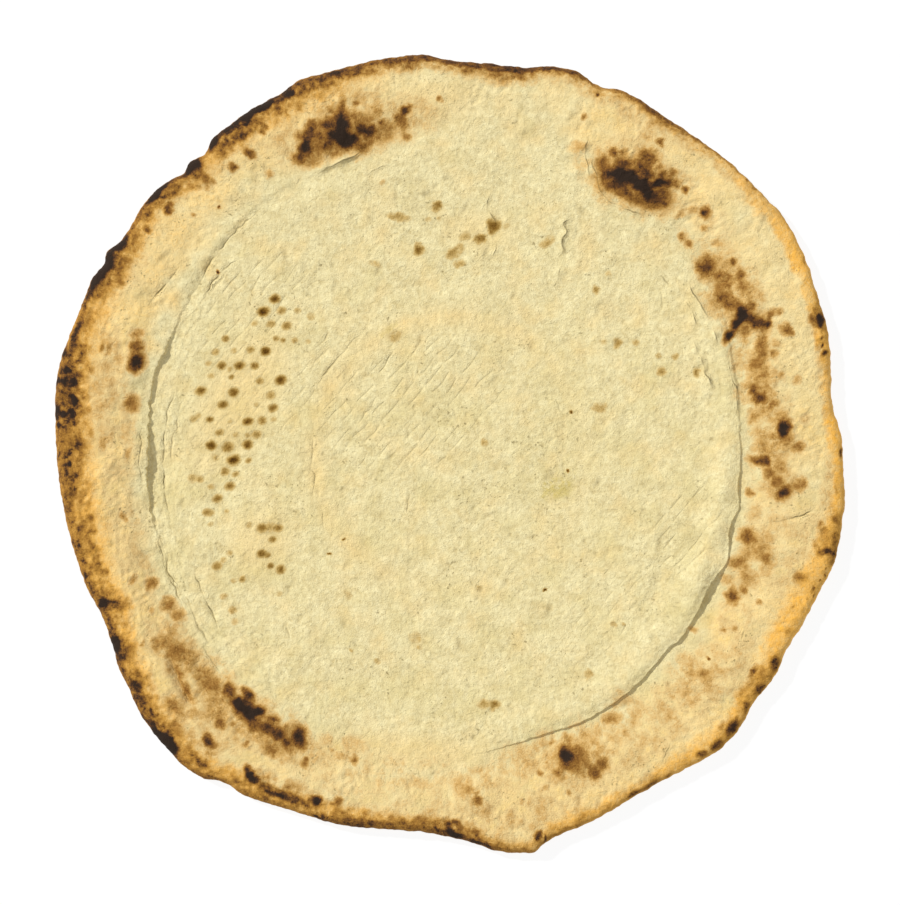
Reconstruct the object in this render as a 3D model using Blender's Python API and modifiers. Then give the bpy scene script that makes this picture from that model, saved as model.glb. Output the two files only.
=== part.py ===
"""A par-baked pizza base: a thin pressed disc of dough inside a broad, uneven, oven-browned rim.

Run with:  blender --background --python part.py

The base lies flat on the plane Z = 0. Its box is centred on the Z axis, +X to the right and +Y to the far side.
An even base is turned from a profile, and each of its points is then moved as the hand-stretched dough is.
"""

import math

import bpy

MM = 0.001

# Driving dimensions, in millimetres.
RIM_RADIUS = 150.0  # mean radius of the outer edge
RING_RADIUS = 115.0  # radius of the pressed disc inside the rim
CENTRE_THICKNESS = 6.5  # of the disc in its middle
SIDE_HEIGHT = 3.6  # height at which the outer edge is widest
STEP_HALF_WIDTH = 0.7  # the wall between disc and rim leans by this much either way
DISH_START = 0.45  # share of the disc's radius where its top starts to rise or fall towards its edge
CROWN_AT = 0.5  # where the rim is highest, as a share of its width
SEGMENTS = 120  # steps of the turned shape

# The outer edge as (degrees from +X, radius): dents, lobes and the pulled corners of hand-stretched dough.
OUTER_EDGE = (
    (0, 150.0), (5, 148.8), (8, 147.0), (15, 149.8), (22, 152.6), (30, 154.3), (42, 154.0), (50, 152.8),
    (56, 151.0), (61, 153.2), (67, 151.4), (71, 153.4), (76, 152.3), (82, 148.2), (88, 149.0), (95, 152.2),
    (104, 152.1), (111, 153.1), (118, 150.5), (125, 150.2), (130, 147.9), (138, 150.0), (144, 147.9),
    (151, 150.9), (160, 150.8), (168, 152.3), (175, 150.8), (183, 148.8), (196, 147.0), (205, 145.6),
    (212, 149.0), (220, 153.5), (228, 155.0), (233, 155.0), (237, 151.8), (246, 148.8), (256, 146.6),
    (266, 144.1), (272, 146.6), (277, 152.0), (281.5, 155.3), (285, 150.9), (295, 148.2), (304, 149.8),
    (314, 152.0), (321, 149.6), (328, 149.8), (333, 148.3), (341, 151.0), (349, 152.1), (355, 150.7),
)  # fmt: skip

# The edge of the pressed disc, as (degrees, radius).
DISC_EDGE = (
    (0, 112.0), (22, 113.5), (45, 116.0), (64, 117.0), (85, 119.0), (104, 120.0), (113, 117.2), (137, 118.3),
    (157, 116.0), (176, 116.7), (194, 116.8), (215, 115.0), (240, 114.5), (262, 115.5), (280, 114.8),
    (300, 115.2), (315, 111.6), (324, 112.6), (332, 111.2), (343, 110.3), (352, 111.2),
)  # fmt: skip

# Heights round the base, as (degrees, height). The lip is the disc's top at its edge, the gutter is the rim's top
# beside it, and the crown is the rim's highest line. Lip over gutter on one side, gutter over lip on the other.
LIP_HEIGHT = ((0, 8.3), (25, 7.6), (70, 6.8), (108, 6.2), (150, 6.4), (178, 5.2), (205, 6.6), (250, 7.0), (285, 8.2),
              (325, 9.3), (345, 9.0))  # fmt: skip
GUTTER_HEIGHT = ((0, 6.6), (25, 6.9), (70, 7.4), (106, 8.2), (125, 7.0), (150, 6.9), (165, 8.0), (180, 9.2),
                 (193, 7.4), (210, 6.8), (250, 7.0), (285, 6.0), (325, 4.6), (345, 5.6))  # fmt: skip
CROWN_HEIGHT = ((0, 9.6), (25, 10.4), (60, 11.0), (85, 9.6), (108, 11.2), (150, 10.6), (180, 11.6), (215, 10.8),
                (250, 9.8), (285, 8.8), (325, 8.6))  # fmt: skip

# Large puffed blisters, as (degrees, radius, length along the rim, width across it, height).
BLISTERS = (
    (107.5, 129.0, 30.0, 13.0, 2.4),
    (56.5, 125.0, 26.0, 14.0, 2.8),
    (21.0, 120.0, 16.0, 12.0, 1.6),
    (232.0, 126.0, 30.0, 12.0, 1.8),
    (291.5, 127.0, 22.0, 11.0, 1.6),
    (166.5, 125.5, 14.0, 8.0, 1.3),
)

# Rings of the turned base, as shares of the disc's radius and then of the rim's width.
DISC_RINGS = (0.18, 0.38, 0.56, 0.72, 0.86)
RIM_RINGS = (0.1, 0.24, 0.38, 0.52, 0.66, 0.79, 0.89, 0.96)
UNDERSIDE = ((0.975, 1.2), (0.9, 0.0), (0.0, 0.0))  # (share of the rim's width, height) below the widest line

CRUST_COLOUR = (0.80, 0.66, 0.36, 1.0)
CRUST_ROUGHNESS = 0.85


def clear_scene():
    for obj in list(bpy.data.objects):
        bpy.data.objects.remove(obj)


def smooth(share):
    """0 to 1 with level ends, clamped outside."""
    share = min(max(share, 0.0), 1.0)
    return share * share * (3.0 - 2.0 * share)


def around(points, degrees):
    """The value at an angle of a smooth closed curve through (degrees, value) points."""
    count = len(points)
    degrees %= 360.0
    after = next((i for i, point in enumerate(points) if point[0] > degrees), count)

    def place(i):
        turns, index = divmod(i, count)
        return points[index][0] + 360.0 * turns, points[index][1]

    (a0, v0), (a1, v1), (a2, v2), (a3, v3) = (place(after + k) for k in (-2, -1, 0, 1))
    span = a2 - a1
    share = (degrees - a1) / span
    slope_1 = (v2 - v0) / (a2 - a0) * span
    slope_2 = (v3 - v1) / (a3 - a1) * span
    s2, s3 = share**2, share**3
    return (
        (2 * s3 - 3 * s2 + 1) * v1 + (s3 - 2 * s2 + share) * slope_1
        + (3 * s2 - 2 * s3) * v2 + (s3 - s2) * slope_2
    )  # fmt: skip


def blister_height(radius, degrees):
    """How far the blisters lift the top here."""
    lift = 0.0
    for at_degrees, at_radius, length, width, height in BLISTERS:
        turn = math.radians((degrees - at_degrees + 180.0) % 360.0 - 180.0)
        along = turn * at_radius / (length / 2)
        across = (radius - at_radius) / (width / 2)
        lift += height * smooth(1.0 - math.hypot(along, across) / 1.4)
    return lift


def disc_top(share, degrees):
    """Height of the disc's top, at a share of its radius."""
    lip = around(LIP_HEIGHT, degrees)
    return CENTRE_THICKNESS + (lip - CENTRE_THICKNESS) * smooth((share - DISH_START) / (1.0 - DISH_START))


def rim_top(share, degrees):
    """Height of the rim's top, at a share of its width: up from the gutter to the crown, then round to the edge."""
    gutter, crown = around(GUTTER_HEIGHT, degrees), around(CROWN_HEIGHT, degrees)
    if share < CROWN_AT:
        return gutter + (crown - gutter) * smooth(share / CROWN_AT)
    outward = (share - CROWN_AT) / (1.0 - CROWN_AT)
    return SIDE_HEIGHT + (crown - SIDE_HEIGHT) * math.sqrt(max(1.0 - outward**2.4, 0.0))


def even_profile():
    """(radius, height) of the turned base, from the middle of its top, over the rim, to the middle of its underside."""
    rim_width = RIM_RADIUS - RING_RADIUS
    yield 0.0, CENTRE_THICKNESS
    for share in DISC_RINGS:
        yield share * RING_RADIUS, CENTRE_THICKNESS
    yield RING_RADIUS - STEP_HALF_WIDTH, CENTRE_THICKNESS
    yield RING_RADIUS + STEP_HALF_WIDTH, CENTRE_THICKNESS
    for share in RIM_RINGS:
        yield RING_RADIUS + share * rim_width, CENTRE_THICKNESS
    yield RIM_RADIUS, SIDE_HEIGHT
    for share, height in UNDERSIDE:
        yield (RING_RADIUS + share * rim_width if share else 0.0), height


def turned_mesh():
    """The even base, turned from its profile."""
    points = [(radius * MM, 0.0, height * MM) for radius, height in even_profile()]
    profile = bpy.data.meshes.new("even_profile")
    profile.from_pydata(points, [(i, i + 1) for i in range(len(points) - 1)], [])
    helper = bpy.data.objects.new("even_base", profile)
    bpy.context.scene.collection.objects.link(helper)
    turn = helper.modifiers.new("turn", "SCREW")
    turn.axis = "Z"
    turn.steps = turn.render_steps = SEGMENTS
    turn.use_merge_vertices = True
    turn.merge_threshold = 0.00001
    bpy.context.view_layer.update()
    graph = bpy.context.evaluated_depsgraph_get()
    mesh = bpy.data.meshes.new_from_object(helper.evaluated_get(graph))
    bpy.data.objects.remove(helper)
    return mesh


def stretched(point):
    """Where a point of the even base lies in the hand-stretched one. All in millimetres."""
    x, y, height = point
    radius, degrees = math.hypot(x, y), math.degrees(math.atan2(y, x))
    disc_radius, rim_radius = around(DISC_EDGE, degrees), around(OUTER_EDGE, degrees)
    wall = RING_RADIUS + STEP_HALF_WIDTH
    in_disc = radius < RING_RADIUS
    if in_disc:
        share = radius / (RING_RADIUS - STEP_HALF_WIDTH)
        new_radius = share * (disc_radius - STEP_HALF_WIDTH)
    else:
        share = (radius - wall) / (RIM_RADIUS - wall)
        new_radius = disc_radius + STEP_HALF_WIDTH + share * (rim_radius - disc_radius - STEP_HALF_WIDTH)
    if height > SIDE_HEIGHT:
        height = disc_top(share, degrees) if in_disc else rim_top(share, degrees)
        height += blister_height(new_radius, degrees)
    scale = new_radius / radius if radius > 0.0 else 1.0
    return x * scale, y * scale, height


def centre_on_z_axis(mesh):
    """Moves the mesh sideways so that its box is centred on the Z axis."""
    for axis in (0, 1):
        places = [vertex.co[axis] for vertex in mesh.vertices]
        middle = (min(places) + max(places)) / 2
        for vertex in mesh.vertices:
            vertex.co[axis] -= middle


def crust_material():
    material = bpy.data.materials.new("crust")
    material.use_nodes = True
    shader = material.node_tree.nodes["Principled BSDF"]
    shader.inputs["Base Color"].default_value = CRUST_COLOUR
    shader.inputs["Roughness"].default_value = CRUST_ROUGHNESS
    shader.inputs["Metallic"].default_value = 0.0
    material.diffuse_color = CRUST_COLOUR
    return material


def build_pizza_base():
    mesh = turned_mesh()
    mesh.name = "pizza_base"
    for vertex in mesh.vertices:
        vertex.co = [place * MM for place in stretched([place / MM for place in vertex.co])]
    centre_on_z_axis(mesh)
    mesh.materials.clear()
    mesh.materials.append(crust_material())
    mesh.shade_smooth()
    base = bpy.data.objects.new("pizza_base", mesh)
    collection = bpy.data.collections.new("Pizza base")
    bpy.context.scene.collection.children.link(collection)
    collection.objects.link(base)
    return base


clear_scene()
build_pizza_base()
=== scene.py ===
"""The looks of a par-baked pizza base: a floury, docked disc inside a broad, blistered and browned rim.

The base is a fine mesh of rings that follow its outer edge and the step between disc and rim, in three
pieces that share their borders. Its relief and its browning are worked out in millimetres from the middle of
the base, +X to the right and +Y to the far side. The browning is kept on the mesh as attributes, which the
crust material breaks up with fine noise.
"""

import functools
import math

import bpy
import numpy as np
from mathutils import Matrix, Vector


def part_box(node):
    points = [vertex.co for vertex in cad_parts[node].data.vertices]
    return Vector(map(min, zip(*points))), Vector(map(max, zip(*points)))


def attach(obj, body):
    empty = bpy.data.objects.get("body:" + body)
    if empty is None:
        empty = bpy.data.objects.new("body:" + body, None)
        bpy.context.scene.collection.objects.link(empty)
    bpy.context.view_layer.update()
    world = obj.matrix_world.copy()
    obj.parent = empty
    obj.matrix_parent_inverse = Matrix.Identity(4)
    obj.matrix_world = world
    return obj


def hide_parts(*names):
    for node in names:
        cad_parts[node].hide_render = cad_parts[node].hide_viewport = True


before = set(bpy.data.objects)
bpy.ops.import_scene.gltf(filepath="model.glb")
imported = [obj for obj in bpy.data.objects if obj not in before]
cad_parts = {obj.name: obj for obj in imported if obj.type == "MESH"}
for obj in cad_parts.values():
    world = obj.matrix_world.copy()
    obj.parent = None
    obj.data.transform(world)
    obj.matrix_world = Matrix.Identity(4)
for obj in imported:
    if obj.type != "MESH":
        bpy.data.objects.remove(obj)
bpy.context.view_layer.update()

MM = 0.001

# ---------------------------------------------------------------- shape, in millimetres and degrees

MEAN_RADIUS = 150.0  # of the outer edge
CENTRE_THICKNESS = 6.5
SIDE_HEIGHT = 3.6  # height at which the outer edge is widest
UNDERCUT = 3.6  # how far inside the widest line the base meets the table
DISH_START = 0.45  # share of the disc's radius where its top starts to rise or fall towards the step
BANK = (0.86, 0.95)  # shares of the disc's radius between which half of that rise or fall lies
CROWN_AT = 0.60  # where the rim is highest, as a share of its width
ROLL_OFF = 8.0  # how squarely the rim's top turns down at the outer edge
ROUNDING = 0.28  # of the step's upper corner, as a share of the step's height
GUTTER_ROUNDED = 3.5  # how far out the rounding reaches where the rim is the higher side
WOBBLE = 0.30  # fine unevenness of the outer edge and of the step
TORN_WOBBLE = 0.55  # more of it where the step is torn

# The outer edge as (degrees from +X, radius).
OUTER_EDGE = (
    (0, 149.8), (3, 149.2), (5.5, 147.5), (8, 146.9), (12, 148.6), (16, 150.6), (19, 151.8), (23, 152.4),
    (29.5, 154.7), (33, 155.5), (36, 155.6), (39, 154.6), (45, 153.9), (51, 152.6), (57, 152), (62, 152.6),
    (65, 152.6), (67.3, 150.9), (70, 151.9), (71.2, 153.2), (73.5, 152.9), (75.5, 152), (79, 149.4),
    (84, 149), (90, 149.5), (94, 152), (98, 152.1), (105, 152.1), (108.7, 152.3), (111.6, 153),
    (115, 151.3), (120, 151), (124, 150.2), (127, 149.8), (129.3, 147), (131.8, 148.4), (133.4, 147),
    (136, 149), (138.6, 149.9), (142, 149.9), (144.5, 148.8), (148, 149.5), (149.6, 151), (151.4, 150.2),
    (153.6, 151.3), (157, 150.9), (161, 151.2), (166, 152.2), (171, 151.8), (176, 150.5), (184, 149.1),
    (193, 148), (201, 147.2), (205.5, 146.2), (209, 147.4), (213, 150.3), (217, 152), (219.6, 154),
    (222.5, 155), (226.5, 155.9), (230.5, 156.4), (233, 155.4), (235.2, 152.4), (239, 152.2), (243, 150.2),
    (249, 148.5), (253, 147.9), (257, 146.6), (261, 145.4), (266, 145), (270, 146.4), (272.6, 148.2),
    (275, 150.8), (277, 153), (280, 154.8), (282, 155.5), (283.4, 153.6), (286, 151.6), (290, 150.9),
    (296, 149.2), (304, 149.2), (309, 151.6), (313, 153), (317, 152.2), (320, 150.2), (326, 150.3),
    (329, 149), (335, 149.8), (339, 150.4), (344, 152.5), (349, 152.1), (353, 151.7), (357, 150.4),
)  # fmt: skip

# The step between disc and rim as (degrees, radius, how far the disc stands above the rim there).
STEP = (
    (0, 110.9, 1), (3, 110.5, 0.9), (7, 110.9, 0.7), (11, 111.7, 0.8), (15, 112.4, 0.9), (19.5, 113.3, 0.8),
    (24, 115.2, 0.5), (31, 118, 0.4), (40, 119.4, 0.2), (55, 118.6, 0), (72, 118.4, 0), (88, 119.2, 0),
    (102, 119, 0), (106, 118, -0.3), (112, 117.4, -0.3), (120, 118.2, -0.3), (127, 118.6, -0.4),
    (134, 118.2, -0.5), (140, 117.4, -0.5), (145, 116.2, -0.45), (149, 115.2, -0.45), (153, 114.6, -0.7),
    (157, 114.2, -1.2), (161, 115, -2.6), (165, 115.7, -1.9), (170, 115.4, -2), (174, 114.8, -1.7),
    (178, 114.6, -3), (181, 114.6, -4.2), (184, 115, -3.6), (187, 115.4, -2.4), (191, 115.6, -1.6),
    (196, 115, -0.7), (204, 116.5, 0), (216, 118, 0), (230, 119, 0), (250, 119.4, 0), (266, 117.6, 0),
    (275, 115, 0.2), (281, 113.6, 0.7), (286, 113, 1.1), (292, 113.2, 1.4), (297, 114, 1.4),
    (303, 113.7, 1.5), (310, 112.9, 1.7), (315.5, 111.8, 1.4), (318, 111.3, 1.5), (321.2, 112.6, 1.8),
    (324.3, 112.2, 1.8), (327.3, 112, 2.4), (330, 111.1, 3.3), (333, 111, 3.4), (335, 111.4, 2.8),
    (337, 112.6, 1.5), (339.3, 113.1, 0.9), (341.5, 111.9, 1.6), (344, 110.4, 2.5), (347, 110.8, 1.5),
    (349.7, 112, 0.9), (352.2, 110.6, 1.9), (356, 110.5, 1.6),
)  # fmt: skip
STEP_HALF_WIDTH = (
    (0, 0.5), (8, 0.7), (20, 0.7), (35, 1.2), (60, 1.6), (100, 1.4), (120, 0.9), (150, 0.9), (158, 0.5),
    (165, 0.35), (190, 0.35), (200, 0.8), (225, 1.4), (262, 1.2), (275, 0.5), (285, 0.35),
)  # fmt: skip
STEP_HEIGHT = (
    (0, 7.4), (30, 7.5), (70, 7.5), (105, 7.8), (125, 7.4), (150, 7.1), (180, 7.2), (205, 6.8), (240, 7),
    (270, 6.9), (300, 7.2), (335, 7.6),
)  # fmt: skip
CROWN_HEIGHT = (
    (0, 8.9), (25, 9.2), (60, 9.4), (85, 8.9), (108, 9.4), (125, 8.8), (142, 8.4), (155, 9), (168, 10),
    (182, 10.7), (205, 9.6), (230, 9.2), (250, 8.8), (285, 8.6), (325, 8.7),
)  # fmt: skip

# Puffed blisters as (x, y, half length, half width, turn in degrees, height).
BLISTERS = (
    (70, 104, 18, 12.5, -22, 2), (-40, 121.5, 24, 8.5, 22, 1.4), (111, 57, 15, 8, -62, 1),
    (119, 28, 16, 8, 84, 0.6), (127, 9.5, 7, 6, 0, 0.6), (123, -9, 12, 8, -70, 0.7),
    (117, -36, 12, 8, -65, 0.7), (-72, -99, 24, 9, -36, 1.3), (-104, -70, 20, 7, -58, 0.8),
    (47, -116, 13, 9, 10, 1.1), (-120, 33, 13, 6.5, 80, 0.9), (-84, 112, 16, 7, 38, 0.6),
    (10, -131, 10, 7, 5, 0.6), (100, -88, 16, 10, 42, 0.6),
)  # fmt: skip

# Creases as (height, reach to the left, reach to the right, points they run through). A negative height is a
# groove. A positive one is a lip that falls away over its longer reach on one side and drops over its shorter
# one on the other.
CREASES = (
    # flaps and cracks by the far blisters
    (1.3, 5, 0.7, ((-51.5, 105), (-45, 108.4), (-40, 110.4), (-35, 113), (-28.5, 118.4))),
    (0.3, 2, 0.4, ((-35, 103.6), (-29, 107), (-22.5, 109))),
    (1.6, 4.5, 1.4, ((52, 103), (52.9, 109), (52, 114), (52.6, 120.5))),
    (0.8, 5, 0.8, ((54.4, 115), (55, 108), (57.2, 101), (61, 95.6), (68, 92), (79, 90.4))),
    (0.9, 4, 0.35, ((42.2, 73.5), (43.9, 77.4), (43.2, 80.6), (44.6, 84), (43.6, 87), (47.8, 90))),
    (0.4, 2, 0.35, ((40.2, 62.8), (41.4, 66), (42.6, 70.2))),
    (0.5, 3, 0.35, ((17.2, 82), (17.6, 86.6), (15, 91), (14.4, 95), (15.4, 99))),
    (0.4, 2, 0.35, ((16.4, 73.5), (17.6, 76.8), (18, 80.6))),
    (0.3, 2, 0.35, ((18.4, 104.4), (20.4, 102.8), (22.6, 103.6))),
    (-0.35, 0.5, 0.45, ((79.6, 67.6), (81.4, 65.6), (84, 62.6))),
    (-0.25, 0.6, 0.5, ((80, 62), (80.6, 54))),
    # wrinkles at the right of the disc
    (1.5, 3, 0.45, ((100.4, 21.5), (98.6, 28), (96.8, 33), (94.6, 38.2), (93, 43.4))),
    (1.1, 2.2, 0.45, ((102.4, 38.4), (101.8, 43), (100, 47.6))),
    (0.8, 1.6, 0.6, ((99, 50), (96.6, 55), (92.6, 60.5), (91, 65))),
    (0.7, 1.6, 0.5, ((94.6, 48), (92.6, 53), (89.6, 57.6))),
    (0.6, 1.4, 0.45, ((105.6, 38), (107.6, 29), (109.4, 20), (109.6, 12))),
    (-0.25, 0.5, 0.4, ((40.2, 21.4), (42, 16.2), (45.4, 11.6))),
    # rings of the far left
    (-0.7, 1.1, 0.9, ((-115.4, 55.6), (-110.6, 61), (-107, 65), (-101.4, 71.8))),
    (-0.55, 0.9, 0.7, ((-102.4, 51.4), (-97.2, 60.5), (-93.4, 67.6), (-88.8, 75), (-83.5, 81.4),
     (-78.9, 86), (-74.7, 90), (-69, 95))),
    (-0.55, 0.9, 0.7, ((-93.6, 57), (-90.6, 63), (-86.4, 68.6), (-82, 72.6), (-77.6, 75.6))),
    (-0.25, 0.9, 0.7, ((-90.5, 60), (-87, 65.4), (-80.5, 71.5))),
    # cracks of the disc's middle
    (-0.55, 0.5, 0.4, ((-51.6, 19.6), (-50.4, 24.6), (-47.2, 30), (-43.6, 34.2), (-38, 41), (-31.6, 47.4))),
    (-0.35, 0.5, 0.4, ((-53, 31), (-49.6, 36), (-45.6, 40.6))),
    (-0.35, 0.5, 0.4, ((-52, 38.6), (-48.6, 42), (-44.6, 46.6))),
    (-0.4, 0.7, 0.5, ((-51.6, 7.4), (-52.2, 1), (-52.5, -5), (-51, -11), (-52.6, -20))),
    (-0.25, 0.6, 0.5, ((-48.6, -20.5), (-47.5, -31.5))),
    (-0.5, 0.5, 0.4, ((-27.6, 29.4), (-24.4, 33), (-22.8, 36.4), (-20.6, 40.4))),
    (-0.3, 0.5, 0.4, ((-39.6, 28.6), (-37.6, 32.4))),
    (-0.25, 0.5, 0.4, ((-40, 4.6), (-35.6, 10.4), (-30.6, 17), (-25.6, 24.4))),
    (-0.4, 0.6, 0.5, ((-15, -15.4), (-16.4, -23))),
    (-0.35, 0.9, 0.7, ((-5, -4.4), (-1, -1.4))),
    # lines beside the left wall and down the lower left
    (-0.8, 0.6, 0.5, ((-116.6, 10.6), (-117, 3), (-117.6, -4), (-116.8, -11.6))),
    (-0.6, 0.6, 0.5, ((-103.4, 26), (-106.4, 17), (-108.4, 7), (-109, -6), (-107.8, -17), (-105.4, -27))),
    (-0.4, 0.6, 0.5, ((-100.4, 22), (-103.4, 13), (-105.4, 2), (-105, -8))),
    (-0.6, 0.7, 0.6, ((-107.2, -38), (-106.8, -45.5), (-103, -51.6))),
    (-0.55, 0.9, 0.7, ((-97, -44), (-95, -51), (-92, -57), (-89.5, -63), (-87.6, -68.4))),
    (-0.7, 1, 0.8, ((-106, -77.6), (-102.6, -87), (-100, -92), (-97.2, -97))),
    (-0.5, 0.7, 0.5, ((-110.6, -30), (-109, -40), (-105, -51), (-100.6, -60.6))),
    (-0.45, 0.7, 0.5, ((-101.6, -52), (-98, -60), (-94, -68), (-90, -75))),
    (-0.4, 0.6, 0.5, ((-94, -73), (-90.6, -79), (-85.6, -85.4))),
    (-0.3, 0.6, 0.5, ((-64, -42.6), (-62.4, -49.6))),
    (-0.35, 0.6, 0.5, ((-62.6, -65.4), (-60, -72.4))),
    # rim
    (-0.6, 0.6, 0.5, ((118.6, -27), (124.6, -26.4), (131.6, -24.6), (136, -23), (139.6, -20.4))),
    (0.6, 3, 0.6, ((81.2, -118.5), (82.2, -114.5), (83.2, -110))),
    (0.7, 4, 0.6, ((-78, -121), (-71.5, -124.6), (-64.5, -128.4), (-57.5, -130.4))),
    (0.5, 3, 0.5, ((112, -66), (110.8, -70), (111.2, -75))),
)  # fmt: skip
# The dark line along each crease and furrow is painted shade, standing in for the shade that falls into it.
CRACK_REACH = 1.2  # how far to each side a crease's own dark line is known
CRACK_FADE = (CRACK_REACH, 0.8)  # how far from the crease the line is lost, and where it begins to fade

# Soft folds as (height, half width, points they run through).
FOLDS = (
    (0.22, 4.5, ((61, -22), (62, 0), (60, 20), (58.5, 45), (57, 66), (56, 84))),
    (0.7, 3, ((88, -62), (94.6, -46), (100, -31), (103.6, -12), (103.6, 6))),
    (-0.45, 2.6, ((79, -38), (79.4, -47), (78.6, -53), (76.6, -60))),
    (0.4, 2.6, ((98, 60), (103, 44), (106, 28), (107, 10))),
    (0.45, 3, ((-110, 46), (-104, 60), (-95, 73), (-84, 83), (-70, 92))),
    (0.3, 2.5, ((-100, 48), (-93, 60), (-84, 70), (-74, 78))),
    (0.3, 3, ((-48, 6), (-46, -12), (-47, -28))),
    (-1.4, 1.6, ((-108, -73), (-105, -81), (-102.6, -88), (-99, -94), (-95, -99))),
)  # fmt: skip

# The docker's pins stand in rows. Where the dough was dragged past them, they left thin slanting furrows.
FURROW_TURN, FURROW_SPACING, FURROW_LENGTH = 50.0, 3.9, 11.0
# The last of these is how dark the shade painted into a furrow's line is.
FURROW_HALF_WIDTH, FURROW_DEPTH, FURROW_SHADE = 0.45, 0.17, 0.46
FURROW_CHANCES = 64  # rows, and furrows in each, before their luck repeats
# Where the furrows show, as (x, y, half length, half width, turn, strength).
DRAGGED_AREAS = (
    (-76, 58, 26, 16, 40, 0.9), (-84, 18, 30, 14, 75, 0.6), (-52, 27, 24, 10, 55, 0.6),
    (-15, 19, 36, 23, 15, 1), (91, -28, 18, 12, 62, 1.1), (62, -58, 26, 16, 45, 0.6),
)  # fmt: skip

# The dough's swells as (size of the lumps, height, seed of their noise), then its other unevenness by height.
SWELLS = ((30.0, 0.30, 21), (11.0, 0.18, 22), (5.2, 0.14, 23), (2.7, 0.11, 24))
RIM_SWELL = 0.40  # larger lumps on the rim
GRAIN = 0.07
PUCKERS, RIM_PUCKERS = 0.10, 0.45  # of the skin: everywhere, and added on parts of the rim
RIPPLES = 0.24  # along the step on the left
# The second is how dark the shade painted into the wrinkles is.
WRINKLE_DEPTH, WRINKLE_SHADE = 0.14, 0.35
# Where the dough is rougher, as (x, y, half length, half width, turn, reach in half lengths).
ROUGH_AREAS = ((-86, -72, 52, 20, -52, 1.4), (100, 36, 28, 9, 75, 1.3))
PIT_COUNT, PITS_WITHIN = 260, 136.0  # small flour pits on the disc and the rim, and the circle they lie in
# The second is how dark the shade painted into the pits is.
PIT_DEPTH, PIT_SHADE, PIT_REACH = 0.35, 0.8, 6.0

# ---------------------------------------------------------------- browning

JOINING = 4  # where marks overlap, their fourth powers are added up
HALVING = 0.69  # a mark is half as brown on its outline as in its middle: exp(-0.69) is a half
MARK_SHARPNESS, SPOT_SHARPNESS = 2.8, 2.6  # how suddenly they end at the outline
PRICK_LENGTH, PRICK_WIDTH, PRICK_TURN = 1.02, 0.84, 20.0  # the pricks are slightly oval
PRICK_REACH = 5.0
SPOT_COUNT, SPOTS_WITHIN = 420, 142.0  # scorched spots on the underside, and the circle they lie in
MARK_REACH = 2.4  # how far out a mark may show, as a share of its half length
EDGE_REACH = 30.0  # how far in the outer edge's bands are worked out
EDGE_MARK_TURN, EDGE_MARK_REACH = 8.0, 12.0  # how far round, and in or out, a spot near the edge may show
BAND_END = 1.45  # where a band is quite gone, as a share of its reach
GOLDEN_BROWNING = 0.15
DEEPENING = 0.12  # how much browner the browned dough is made in the end
SIDE_BROWNING, SIDE_STREAKS = 0.62, 0.26  # the first as a share of the dark band's
UNDERSIDE_BROWNING, SPOT_BROWNING = 0.16, 0.75
FLOURY_RADIUS, FLOURY_FADE = 98.0, 12.0  # floury out to the first, and less and less over the second

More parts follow.
